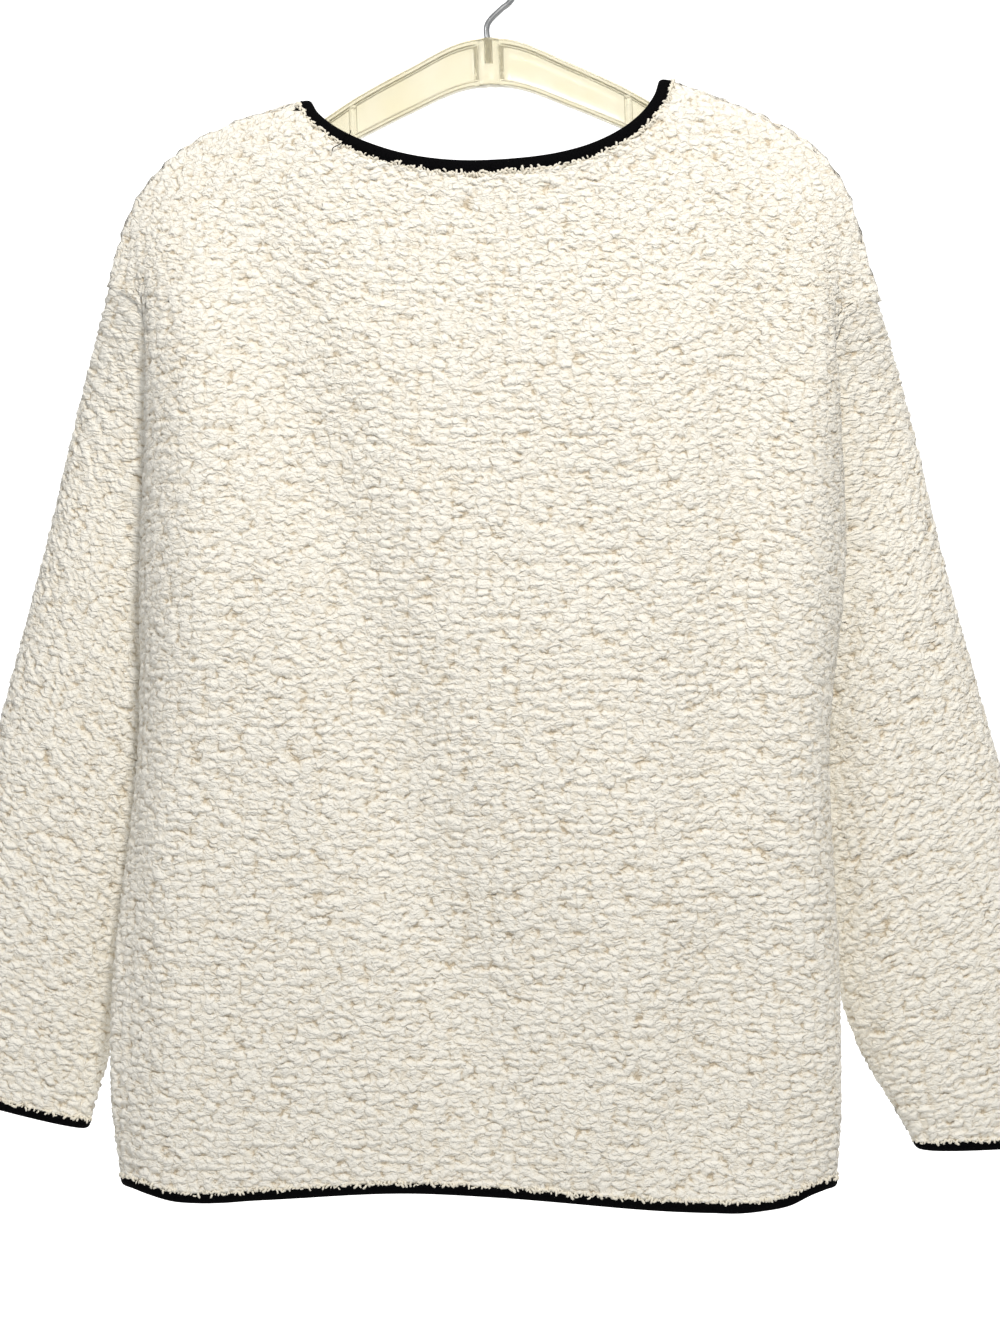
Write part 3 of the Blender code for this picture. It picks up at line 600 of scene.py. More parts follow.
# %% Add a node
def add(tree, kind, inputs=(), **settings):
    """Add a node, make its settings, and give each named or numbered input a value or a link."""
    node = tree.nodes.new(kind)
    for name, value in settings.items():
        setattr(node, name, value)
    for name, value in dict(inputs).items():
        if isinstance(value, bpy.types.NodeSocket):
            tree.links.new(value, node.inputs[name])
        else:
            node.inputs[name].default_value = value
    return node


def linear(code):
    """An sRGB colour such as #F4EFE6 as the linear colour that a shader takes."""
    parts = [int(code[k:k + 2], 16) / 255 for k in (1, 3, 5)]
    return [c / 12.92 if c <= 0.04045 else ((c + 0.055) / 1.055) ** 2.4 for c in parts] + [1.0]


print("cream in linear light", [round(c, 3) for c in linear("#F4EFE6")])

# %% [markdown]
# ## The pile
#
# Sherpa is knitted, brushed and tumbled: its loops clump into lumps that lie along the knitted courses,
# with thin wandering creases between them, and each lump is itself a knot of small curls. Three patterns
# that Blender offers each hold a part of that. Smooth Voronoi cells are round lumps packed together, the
# edges of sharp cells are the thin creases, and a noise folded about its middle is soft lumps that run into
# each other. All are stretched along the courses, and a finer noise moves their coordinates, so that no
# crease runs straight.

# %% Parts of the pile
LUMP_LENGTH, LUMP_TALL = 7.8 * MM, 5.6 * MM
CURL_LENGTH, CURL_TALL = 2.9 * MM, 2.1 * MM


def in_cells(tree, place, length, tall):
    """A place counted in cells of length by tall."""
    size = (1 / length, 1 / tall, 0.0)
    return add(tree, "ShaderNodeVectorMath", {0: place, 1: size}, operation="MULTIPLY").outputs[0]


def lumps(tree, place, length, tall):
    """Round lumps packed together: about 1 on their crowns."""
    spread = in_cells(tree, place, length, tall)
    cells = add(tree, "ShaderNodeTexVoronoi",
                {"Vector": spread, "Scale": 1.0, "Smoothness": 0.35, "Randomness": 0.95},
                voronoi_dimensions="2D", feature="SMOOTH_F1")
    away = cells.outputs["Distance"]
    square = add(tree, "ShaderNodeMath", {0: away, 1: away}, operation="MULTIPLY").outputs[0]
    return add(tree, "ShaderNodeMath", {0: square, 1: -1.9, 2: 1.0}, operation="MULTIPLY_ADD").outputs[0]


def creases(tree, place, length, tall):
    """Thin creases between packed cells: 0 in a crease, 1 a short way from it."""
    spread = in_cells(tree, place, length, tall)
    cells = add(tree, "ShaderNodeTexVoronoi", {"Vector": spread, "Scale": 1.0, "Randomness": 0.9},
                voronoi_dimensions="2D", feature="DISTANCE_TO_EDGE")
    near = add(tree, "ShaderNodeMath", {0: cells.outputs["Distance"], 1: 5.0}, operation="MULTIPLY",
               use_clamp=True)
    return add(tree, "ShaderNodeMath", {0: near.outputs[0], 1: 0.6}, operation="POWER").outputs[0]


def folded_noise(tree, place, length, tall):
    """Soft lumps that run into each other, with a crease wherever a smooth noise crosses its middle."""
    spread = in_cells(tree, place, length, tall)
    wave = add(tree, "ShaderNodeTexNoise", {"Vector": spread, "Scale": 1.0, "Detail": 0.0},
               noise_dimensions="2D")
    signed = add(tree, "ShaderNodeMath", {0: wave.outputs[0], 1: 4.2, 2: -2.1}, operation="MULTIPLY_ADD")
    size = add(tree, "ShaderNodeMath", {0: signed.outputs[0]}, operation="ABSOLUTE")
    return add(tree, "ShaderNodeMath", {0: size.outputs[0], 1: 0.62}, operation="POWER").outputs[0]


print("lumps", round(LUMP_LENGTH / MM, 1), "by", round(LUMP_TALL / MM, 1), "mm")


# %% Height of the pile
def pile_height(tree, place):
    """Height of the pile from about 0 to 1 at a place, in metres along and across the courses."""
    wander = add(tree, "ShaderNodeTexNoise", {"Vector": place, "Scale": 1 / (6 * MM), "Detail": 3.0,
                                              "Roughness": 0.62}, noise_dimensions="2D")
    swing = add(tree, "ShaderNodeVectorMath", {0: wander.outputs[1], 1: (0.5, 0.5, 0.5)},
                operation="SUBTRACT")
    moved = add(tree, "ShaderNodeVectorMath", {0: swing.outputs[0], 1: (6 * MM, 5 * MM, 0.0), 2: place},
                operation="MULTIPLY_ADD").outputs[0]
    parts = ((lumps(tree, moved, LUMP_LENGTH, LUMP_TALL), 0.25),
             (folded_noise(tree, moved, 1.15 * LUMP_LENGTH, 0.95 * LUMP_TALL), 0.26),
             (creases(tree, moved, 1.1 * LUMP_LENGTH, 0.9 * LUMP_TALL), 0.27),
             (lumps(tree, moved, CURL_LENGTH, CURL_TALL), 0.22))
    total = 0.0
    for part, share in parts:
        total = add(tree, "ShaderNodeMath", {0: part, 1: share, 2: total},
                    operation="MULTIPLY_ADD").outputs[0]
    return total


print("curls", round(CURL_LENGTH / MM, 1), "by", round(CURL_TALL / MM, 1), "mm")

# %% [markdown]
# ## Finishes
#
# Sherpa is polyester pile, brushed and tumbled, then left matt, so no highlight shows. Its colour carries
# painted shade: crowns are painted nearly white, and creases a little darker and yellower, where shade falls.
# The knit ground inside is the bare back of the same cloth. The binding is a cotton rib knit dyed black.
# The hanger is polystyrene, injection moulded and faintly yellow, and its hook is drawn steel wire with a
# bright zinc plate.

# %% Start a material
def new_material(name, rough, base="#FFFFFF", **surface):
    """A Principled material, with its constants on the shader's own sockets."""
    made = bpy.data.materials.new(name)
    made.use_nodes = True
    made.node_tree.nodes.clear()
    constants = {key.replace("_", " "): value for key, value in surface.items()}
    shader = add(made.node_tree, "ShaderNodeBsdfPrincipled",
                 {"Base Color": linear(base), "Roughness": rough, **constants})
    add(made.node_tree, "ShaderNodeOutputMaterial", {"Surface": shader.outputs[0]})
    return made, made.node_tree, shader


def finish_with(tree, shader, colour, height, deep, strength):
    """Join a colour and a bump to a shader."""
    bump = add(tree, "ShaderNodeBump", {"Height": height, "Distance": deep, "Strength": strength})
    tree.links.new(colour, shader.inputs["Base Color"])
    tree.links.new(bump.outputs[0], shader.inputs["Normal"])


print("finishes start from", bpy.app.version_string)


# %% Sherpa pile
def sherpa_pile():
    """Polyester sherpa, brushed and tumbled: matt, with painted shade, crowns nearly white and creases
    darker.
    """
    made, tree, shader = new_material("sherpa_pile", 0.95, Sheen_Weight=0.1, Sheen_Roughness=0.6)
    place = add(tree, "ShaderNodeUVMap", uv_map="cloth").outputs[0]
    # single curled fibres are finer than this; 1.5 mm is the finest that shows at arm's length
    fibre = add(tree, "ShaderNodeTexNoise", {"Vector": place, "Scale": 1 / (1.5 * MM), "Detail": 2.0,
                                             "Roughness": 0.6}, noise_dimensions="2D")
    height = add(tree, "ShaderNodeMath", {0: fibre.outputs[0], 1: 0.16, 2: pile_height(tree, place)},
                 operation="MULTIPLY_ADD").outputs[0]
    # painted shade: colour by pile height, darker and yellower in the creases, nearly white on the crowns
    low = add(tree, "ShaderNodeMapRange", {"Value": height, "From Min": 0.3, "From Max": 0.56},
              interpolation_type="SMOOTHSTEP")
    high = add(tree, "ShaderNodeMapRange", {"Value": height, "From Min": 0.5, "From Max": 0.9},
               interpolation_type="SMOOTHSTEP")
    painted_crease_shade = add(tree, "ShaderNodeMix", {"Factor": low.outputs[0], 6: linear("#DACBB2"), 7: linear("#F7F0E1")},
               data_type="RGBA")
    colour = add(tree, "ShaderNodeMix", {"Factor": high.outputs[0], 6: painted_crease_shade.outputs[2], 7: linear("#FFFCF3")},
                 data_type="RGBA")
    finish_with(tree, shader, colour.outputs[2], height, 2.5 * MM, 0.85)
    return made


SHERPA = sherpa_pile()
print(SHERPA.name, len(SHERPA.node_tree.nodes), "nodes")


# %% Loose curls and knit ground
def sherpa_curls():
    """Loose curls of the same pile, which catch the light from every side."""
    made, tree, shader = new_material("sherpa_curls", 0.95, Sheen_Weight=0.1, Sheen_Roughness=0.6)
    place = add(tree, "ShaderNodeTexCoord").outputs["Object"]
    fibre = add(tree, "ShaderNodeTexNoise", {"Vector": place, "Scale": 1 / (0.9 * MM), "Detail": 2.0})
    colour = add(tree, "ShaderNodeMix",
                 {"Factor": fibre.outputs[0], 6: linear("#E9E1D0"), 7: linear("#FDF9EC")}, data_type="RGBA")
    finish_with(tree, shader, colour.outputs[2], fibre.outputs[0], 0.5 * MM, 0.7)
    return made


def knit_ground():
    """The knitted back of the cloth: fine dull loops, too small to count at arm's length."""
    made, tree, shader = new_material("sherpa_knit_ground", 0.9, Sheen_Weight=0.1)
    place = add(tree, "ShaderNodeUVMap", uv_map="cloth").outputs[0]
    loops = creases(tree, place, 1.5 * MM, 1.1 * MM)
    # painted shade: the colour is darker in the creases between the loops
    colour = add(tree, "ShaderNodeMix",
                 {"Factor": loops, 6: linear("#CFC5B2"), 7: linear("#EFE9DC")}, data_type="RGBA")
    finish_with(tree, shader, colour.outputs[2], loops, 0.4 * MM, 0.6)
    return made


CURL, GROUND = sherpa_curls(), knit_ground()
print([(made.name, len(made.node_tree.nodes)) for made in (CURL, GROUND)])


# %% Rib knit
def rib_knit():
    """Cotton rib knit dyed black: upright wales a millimetre apart, a breath of sheen, lint, and painted
    shade between wales.
    """
    made, tree, shader = new_material("black_rib_knit", 0.85, Sheen_Weight=0.01, Sheen_Roughness=0.4,
                                      Specular_IOR_Level=0.05)
    place = add(tree, "ShaderNodeUVMap", uv_map="cloth").outputs[0]
    loops = lumps(tree, place, 1.05 * MM, 1.5 * MM)
    lint = add(tree, "ShaderNodeTexNoise", {"Vector": place, "Scale": 1 / (4 * MM), "Detail": 4.0})
    # painted shade and real lint: darker between the wales, lighter on their crowns, with random lint
    lint_and_wale_shade = add(tree, "ShaderNodeMath", {0: lint.outputs[0], 1: 0.4, 2: loops}, operation="MULTIPLY_ADD")
    colour = add(tree, "ShaderNodeMix",
                 {"Factor": lint_and_wale_shade.outputs[0], 6: linear("#020203"), 7: linear("#070709")}, data_type="RGBA")
    finish_with(tree, shader, colour.outputs[2], loops, 0.35 * MM, 0.6)
    return made


RIB = rib_knit()
print(RIB.name, len(RIB.node_tree.nodes), "nodes")


# %% Plastic and wire
def clear_plastic():
    """Polystyrene, injection moulded: clear, faintly yellow, with slow flow marks and fine scuffs."""
    made, tree, shader = new_material("clear_moulded_polystyrene", 0.16, Transmission_Weight=0.72, IOR=1.59)
    place = add(tree, "ShaderNodeTexCoord").outputs["Object"]
    scuff = add(tree, "ShaderNodeTexNoise", {"Vector": place, "Scale": 1 / (6 * MM), "Detail": 5.0})
    rough = add(tree, "ShaderNodeMapRange", {"Value": scuff.outputs[0], "To Min": 0.1, "To Max": 0.3})
    tree.links.new(rough.outputs[0], shader.inputs["Roughness"])
    flow = add(tree, "ShaderNodeTexNoise", {"Vector": place, "Scale": 1 / (22 * MM), "Detail": 1.0})
    colour = add(tree, "ShaderNodeMix",
                 {"Factor": flow.outputs[0], 6: linear("#F1E9C8"), 7: linear("#F8F3DF")}, data_type="RGBA")
    finish_with(tree, shader, colour.outputs[2], flow.outputs[0], 0.4 * MM, 0.3)
    return made


def plated_wire():
    """Steel wire, drawn and zinc plated: bright, with faint draw lines and a duller bloom in the plate."""
    made, tree, shader = new_material("zinc_plated_wire", 0.25, Metallic=1.0)
    place = add(tree, "ShaderNodeTexCoord").outputs["Object"]
    bloom = add(tree, "ShaderNodeTexNoise", {"Vector": place, "Scale": 1 / (5 * MM), "Detail": 4.0})
    rough = add(tree, "ShaderNodeMapRange", {"Value": bloom.outputs[0], "To Min": 0.18, "To Max": 0.38})
    tree.links.new(rough.outputs[0], shader.inputs["Roughness"])
    lines = add(tree, "ShaderNodeTexNoise", {"Vector": place, "Scale": 1 / (0.5 * MM), "Detail": 2.0})
    colour = add(tree, "ShaderNodeMix",
                 {"Factor": bloom.outputs[0], 6: linear("#BFC1C3"), 7: linear("#D2D4D6")}, data_type="RGBA")
    finish_with(tree, shader, colour.outputs[2], lines.outputs[0], 0.05 * MM, 0.3)
    return made


PLASTIC, WIRE = clear_plastic(), plated_wire()
print([(made.name, len(made.node_tree.nodes)) for made in (PLASTIC, WIRE)])

# %% [markdown]
# ## Edges that meet
#
# Neighbouring pieces must meet along the same curve, or daylight shows through a seam. Reading each panel
# on its own would bend the end of every seam its own way. So each stretch of an edge is read from one line
# that both neighbours share: the shoulder, the ring of the neck, the ring of the armhole, and the side
# seam.

# %% Read the edges
def read_edges(face, source, neck_ring, down, across):
    """The top and the two sides of a panel, each stretch read from a line shared with its neighbour."""
    grid, (first, last) = source[face], neck
    way = across[(across > first) & (across < last)] - first
    top = [cubic_read(grid[0, :first + 1], across[across <= first], False),
           cubic_read(neck_ring, way if face == "back" else len(neck_ring) - way, True),
           cubic_read(grid[0, last:], across[across >= last] - last, False)]
    sides = []
    for column, arm in ((0, "left"), (-1, "right")):
        ring, way = source[arm][0], down[down < seam]
        way = way if face == "back" else (len(ring) - way) % len(ring)
        below = cubic_read(grid[seam:, column], down[down >= seam] - seam, False)
        sides.append(np.concatenate([cubic_read(ring, way, True), below]))
    return np.concatenate(top), sides


def follow_edges(fine, top, sides, reach=8.0):
    """Move the edges to their lines, and carry the cloth beside them along."""
    near = np.exp(-np.arange(fine.shape[1]) / reach)[None, :, None]
    for column, side, fade in ((0, sides[0], near), (-1, sides[1], near[:, ::-1])):
        fine = fine + (side - fine[:, column])[:, None] * fade
    near = np.exp(-np.arange(fine.shape[0]) / reach)[:, None, None]
    return fine + (top - fine[0])[None] * near


def held_in(points, closed):
    """Draw the inner edges back by half a seam's gap."""
    moved = points.copy()
    for row, beside in ((0, 1), (-1, -2)):
        moved[row] += unit(points[beside] - points[row]) * SEAM_GAP / 2
        if not closed:
            moved[:, row] += unit(points[:, beside] - points[:, row]) * SEAM_GAP / 2
    return moved


outer_lines = {**panels, **sleeves}
down, across = even_places(panels["back"], 0, False, 60), even_places(panels["back"], 1, False, 60)
whole = read_at(panels["back"], down, across, False)
met = follow_edges(whole, *read_edges("back", outer_lines, neck_edge, down, across))
print("edges move up to", round(float(np.linalg.norm(met - whole, axis=2).max()) / MM, 2), "mm")

# %% [markdown]
# ## Walls of cloth
#
# Each piece is one closed wall: a fine outer face, a coarse knit face inside, and a rim that joins them.
# The cloth carries a UV map in metres, so that the courses follow the cut, and the direction in which its
# pile stands. Geometry Nodes then lift each point of the outer face by the height of the pile.

# %% Cloth coordinates
def panel_map(points):
    """Courses run level; the way along them is measured round the body from its middle."""
    step = np.hypot(np.diff(points[..., 0], axis=1), np.diff(points[..., 1], axis=1))
    round_body = np.concatenate([np.zeros((len(points), 1)), np.cumsum(step, axis=1)], axis=1)
    middle = points.shape[1] // 2
    return round_body - round_body[:, middle:middle + 1], points[..., 2]


def sleeve_map(points):
    """Courses run square to the sleeve; the way along them is measured round it from its top."""
    half = points.shape[1] // 2
    points = np.roll(points, -half, axis=1)
    axis = unit(points[-1].mean(axis=0) - points[0].mean(axis=0))
    step = np.diff(points, axis=1)
    across = np.linalg.norm(step - (step @ axis)[..., None] * axis, axis=2)
    reach = np.concatenate([np.zeros((len(points), 1)), np.cumsum(across, axis=1)], axis=1)
    reach -= reach[:, half:half + 1]
    return np.roll(reach, half, axis=1), np.roll((points - points[0].mean(axis=0)) @ axis, half, axis=1)


print("the back is", round(float(np.ptp(panel_map(panels["back"])[0][-1])), 3), "m round at the hem")


# %% Meshes from points
def face_outwards(mesh, weld=0.0):
    """Turn all faces outwards and shade them smooth; points closer than weld are joined first."""
    shape = bmesh.new()
    shape.from_mesh(mesh)
    if weld:
        bmesh.ops.remove_doubles(shape, verts=shape.verts, dist=weld)
    bmesh.ops.recalc_face_normals(shape, faces=shape.faces)
    shape.to_mesh(mesh)
    shape.free()
    mesh.shade_smooth()


def finished_mesh(name, vertices, faces):
    """A smooth mesh object whose faces point outwards."""
    mesh = bpy.data.meshes.new(name)
    mesh.from_pydata(np.asarray(vertices).tolist(), [], faces)
    face_outwards(mesh)
    return new_object(name, mesh)


def grid_quads(rows, columns, closed, start):
    """Quads of a grid of points that are numbered row by row from start."""
    j, i = np.meshgrid(np.arange(rows - 1), np.arange(columns if closed else columns - 1), indexing="ij")
    here, ahead, below = j * columns, (i + 1) % columns, (j + 1) * columns
    quads = np.stack([here + i, here + ahead, below + ahead, below + i], axis=-1)
    return (quads.reshape(-1, 4) + start).tolist()


def rim(fine, coarse, step):
    """Faces between a finely divided edge and a coarse one, step fine points to each coarse one."""
    return [fine[k * step:(k + 1) * step + 1] + [coarse[k + 1], coarse[k]] for k in range(len(coarse) - 1)]


print("quads in a small grid", grid_quads(2, 3, False, 0))


# %% Lay a map on the cloth
def lay_cloth_map(obj, places, jump=0.1):
    """Give each corner its place on the cloth; a face that crosses the seam of a tube stays whole."""
    mesh = obj.data
    corner = np.empty(len(mesh.loops), np.int32)
    mesh.loops.foreach_get("vertex_index", corner)
    starts, sizes = np.empty(len(mesh.polygons), np.int32), np.empty(len(mesh.polygons), np.int32)
    mesh.polygons.foreach_get("loop_start", starts)
    mesh.polygons.foreach_get("loop_total", sizes)
    flat = places[corner].astype(np.float32)
    most = np.repeat(np.maximum.reduceat(flat[:, 0], starts), sizes)
    flat[flat[:, 0] < most - jump, 0] += np.ptp(places[:, 0])
    mesh.uv_layers.new(name="cloth").data.foreach_set("uv", flat.ravel())


def keep_vector(obj, name, values):
    held = obj.data.attributes.new(name, "FLOAT_VECTOR", "POINT")
    held.data.foreach_set("vector", np.asarray(values, np.float32).ravel())


print("a face that spans more than 0.1 m of the map crosses the seam of a tube")

# %% Faces of a wall
SIDE_STEP = 10                  # fine points outside to each point inside


def wall_faces(rows, columns, few_rows, few, closed):
    """Faces of a fine outer grid, of a coarse inner grid numbered after it, and of the rim between them."""
    start = rows * columns
    faces = grid_quads(rows, columns, closed, 0) + grid_quads(few_rows, few, closed, start)
    wrap = [0] if closed else []
    for row, low in ((0, 0), (rows - 1, few_rows - 1)):
        fine = [row * columns + k for k in list(range(columns)) + wrap]
        faces += rim(fine, [start + low * few + k for k in list(range(few)) + wrap], SIDE_STEP)
    for column, low in () if closed else ((0, 0), (columns - 1, few - 1)):
        fine = [k * columns + column for k in range(rows)]
        faces += rim(fine, [start + k * few + low for k in range(few_rows)], SIDE_STEP)
    return faces


def tuck_under(outer, stands, near, row, length, sink):
    """Carry the upper edge of a piece under its neighbour, as its seam allowance does."""
    return outer + near * (unit(outer[0] - outer[row]) * length - unit(stands[0]) * sink)


print("one point inside for", SIDE_STEP ** 2, "outside")

# %% One wall of cloth
SHOULDER_TUCK, SHOULDER_SINK = 2.5 * MM, 0.6 * MM
SLEEVE_TUCK, SLEEVE_SINK = 6.0 * MM, 0.7 * MM
SHOULDER_NEAR, SLEEVE_NEAR = 0.4, 3.0           # coarse rows and fine rows over which a tuck dies away
SHOULDER_WAY, SLEEVE_WAY = 4, 6                 # fine rows from the edge that show which way the cloth runs


def build_cloth(node, key, closed, rows, columns, shift):
    """A wall of sherpa, rows by columns fine cells outside and SIDE_STEP times fewer inside."""
    grid, normals = outer_lines[key], facing[key]
    outer, down, across = finer(grid, rows, columns, closed)
    stands = read_at(normals, down, across, closed)
    if not closed:
        outer = follow_edges(outer, *read_edges(key, outer_lines, neck_edge, down, across))
        stands = follow_edges(stands, *read_edges(key, facing, neck_facing, down, across))
        if key == "back":
            # only along the shoulders, where it meets the front
            shoulder = (across < neck[0]) | (across > neck[1])
            near = shoulder[None, :, None] * np.exp(-down / SHOULDER_NEAR)[:, None, None]
            outer = tuck_under(outer, stands, near, SHOULDER_WAY, SHOULDER_TUCK, SHOULDER_SINK)
    else:
        near = np.exp(-np.arange(rows + 1) / SLEEVE_NEAR)[:, None, None]
        outer = tuck_under(outer, stands, near, SLEEVE_WAY, SLEEVE_TUCK, SLEEVE_SINK)
    inner = read_at(held_in(grid - normals * WALL, closed), down[::SIDE_STEP], across[::SIDE_STEP], closed)
    faces = wall_faces(*outer.shape[:2], *inner.shape[:2], closed)
    obj = finished_mesh("sherpa_" + node, np.vstack([outer.reshape(-1, 3), inner.reshape(-1, 3)]), faces)
    cloth_map = sleeve_map if closed else panel_map
    places = [np.stack(cloth_map(points), axis=-1).reshape(-1, 2) for points in (outer, inner)]
    places = np.vstack(places) + shift
    lay_cloth_map(obj, places)
    keep_vector(obj, "place", np.column_stack([places, np.zeros(len(places))]))
    still = np.zeros((inner.shape[0] * inner.shape[1], 3))
    keep_vector(obj, "stands", np.vstack([unit(stands).reshape(-1, 3), still]))
    return obj, outer


print("a sleeve ends", SLEEVE_TUCK / MM, "mm under the edge of its armhole")


# %% Lift the pile
def new_tree(name, inputs):
    """Start a Geometry Nodes tree that takes a mesh and the inputs, each a name and a kind."""
    tree = bpy.data.node_groups.new(name, "GeometryNodeTree")
    tree.interface.new_socket("Geometry", in_out="OUTPUT", socket_type="NodeSocketGeometry")
    for label, kind in (("Geometry", "Geometry"),) + inputs:
        tree.interface.new_socket(label, in_out="INPUT", socket_type="NodeSocket" + kind)
    return tree, add(tree, "NodeGroupInput").outputs


def pile_tree():
    """Geometry Nodes: lift each point by the height of the pile, and give both sides their finish."""
    tree, given = new_tree("lift_the_pile", (("Rise", "Float"), ("Sink", "Float"), ("Pile", "Material"),
                                             ("Ground", "Material")))
    place, stands = (add(tree, "GeometryNodeInputNamedAttribute", {"Name": name},
                         data_type="FLOAT_VECTOR").outputs[0] for name in ("place", "stands"))
    height = pile_height(tree, place)
    lift = add(tree, "ShaderNodeMapRange", {"Value": height, "From Min": 0.2, "From Max": 0.9,
                                            "To Min": given["Sink"], "To Max": given["Rise"]})
    offset = add(tree, "ShaderNodeVectorMath", {0: stands, "Scale": lift.outputs[0]}, operation="SCALE")
    lifted = add(tree, "GeometryNodeSetPosition",
                 {"Geometry": given["Geometry"], "Offset": offset.outputs[0]})
    length = add(tree, "ShaderNodeVectorMath", {0: stands}, operation="LENGTH")
    inside = add(tree, "FunctionNodeCompare", {0: length.outputs["Value"], 1: 0.1}, operation="LESS_THAN")
    piled = add(tree, "GeometryNodeSetMaterial", {"Geometry": lifted.outputs[0], "Material": given["Pile"]})
    plain = add(tree, "GeometryNodeRealizeInstances", {"Geometry": piled.outputs[0]})
    both = add(tree, "GeometryNodeSetMaterial", {"Geometry": plain.outputs[0], "Selection": inside.outputs[0],
                                                 "Material": given["Ground"]})
    add(tree, "NodeGroupOutput", {"Geometry": both.outputs[0]})
    return tree


LIFT = pile_tree()
print(LIFT.name, len(LIFT.nodes), "nodes")


# %% Keep what a tree makes
def plain_mesh(obj):
    """Keep what an object's modifiers make as its own mesh."""
    view = bpy.context.evaluated_depsgraph_get()
    made = bpy.data.meshes.new_from_object(obj.evaluated_get(view), preserve_all_data_layers=True,
                                           depsgraph=view)
    obj.modifiers.clear()
    obj.data = made
    made.name = obj.name
    return obj


def grow(obj, tree, values):
    """Run a Geometry Nodes tree on an object and keep the result; inputs are set by their identifiers."""
    modifier = obj.modifiers.new(tree.name, "NODES")
    modifier.node_group = tree
    for item in tree.interface.items_tree:
        if item.item_type == "SOCKET" and item.in_out == "INPUT" and item.name in values:
            modifier[item.identifier] = values[item.name]
    return plain_mesh(obj)


print("inputs of the tree", [item.name for item in LIFT.interface.items_tree if item.in_out == "INPUT"])

# %% Cut and hang the cloth
CUTS = (                        # node, grid, tube or not, fine rows, fine columns, shift of the pattern
    ("back_panel", "back", False, 500, 190, 0.0),
    ("front_panel", "front", False, 440, 170, 1.37),
    ("sleeve_left", "left", True, 360, 130, 2.71),
    ("sleeve_right", "right", True, 360, 130, 4.19),
)
PILE_RISE, PILE_SINK = 1.0 * MM, -1.4 * MM
coarser = 1
cloth, flat_sizes, flat_areas = {}, {}, {}
for node, key, closed, rows, columns, shift in CUTS:
    rows, columns = (SIDE_STEP * round(n / coarser / SIDE_STEP) for n in (rows, columns))
    piece, outer = build_cloth(node, key, closed, rows, columns, shift)
    cloth[node] = grow(piece, LIFT, {"Rise": PILE_RISE, "Sink": PILE_SINK, "Pile": SHERPA, "Ground": GROUND})
    ring = np.concatenate([outer, outer[:, :1]], axis=1) if closed else outer
    tall, wide = np.diff(ring, axis=0), np.diff(ring, axis=1)
    flat_areas[node] = float(np.linalg.norm(np.cross(tall[:, :-1], wide[:-1]), axis=2).sum())
    # a panel's cut is widest below its armholes, a sleeve's at the armhole
    below = 0 if closed else int(np.searchsorted(np.linspace(0, 1, len(outer)), 0.4))
    flat_sizes[node] = (float(np.linalg.norm(wide, axis=2).sum(axis=1)[below:].max()),
                        float(np.linalg.norm(tall, axis=2).sum(axis=0).max()))
    print(node, len(cloth[node].data.polygons), "faces,", [round(s, 3) for s in flat_sizes[node]], "m flat,",
          round(flat_areas[node], 3), "square metres")

# %% [markdown]
# ## Bindings
#
# A binding is a strip of rib knit folded round the cut edge. It is stuffed by the edge inside it, so its
# faces crown a little and its outer fold is round. Sweeping one rounded section round each edge keeps it
# the same width all the way, as a folding attachment on a sewing machine does.

# %% Lines that the bindings follow
def square_to(edge, normals, away):
    """The way out of a cut edge, square to the edge and in the cloth."""
    onward = unit(np.roll(edge, -1, axis=0) - np.roll(edge, 1, axis=0))
    square = unit(np.cross(onward, normals))
    return square * np.sign(np.sum(square * away))


def bound_edges():
    """Node, edge, normals, way out and height of each binding."""
    to_front = np.roll(neck_edge, -1, axis=0) - np.roll(neck_edge, 1, axis=0)
    last = 2 * COLUMNS
    down = {face: unit(panels[face][-1] - panels[face][-2])[None] for face in ("back", "front")}
    rings = [("neck_binding", neck_edge, neck_facing, np.cross(neck_facing, to_front), NECK_BAND),
             ("hem_binding", ring_of(panels["back"], panels["front"], -1, 0, last),
              ring_of(facing["back"], facing["front"], -1, 0, last),
              ring_of(down["back"], down["front"], 0, 0, last), EDGE_BAND)]
    rings += [("cuff_binding_" + arm, sleeves[arm][-1], facing[arm][-1],
               unit(sleeves[arm][-1] - sleeves[arm][-2]), EDGE_BAND) for arm in ("left", "right")]
    return [(node, edge, normals, square_to(edge, normals, away), height)
            for node, edge, normals, away, height in rings]


def round_the_edge(lines, spacing):
    """Closed lines read again at even steps along the first of them."""
    reach = lengths_along(np.vstack([lines[0], lines[0][:1]]))
    goal = np.linspace(0, reach[-1], round(reach[-1] / spacing), endpoint=False)
    places = np.interp(goal, reach, np.arange(len(reach)))
    return [cubic_read(line, places, True) for line in lines], goal


edges = bound_edges()
print([(node, len(edge)) for node, edge, *_ in edges])

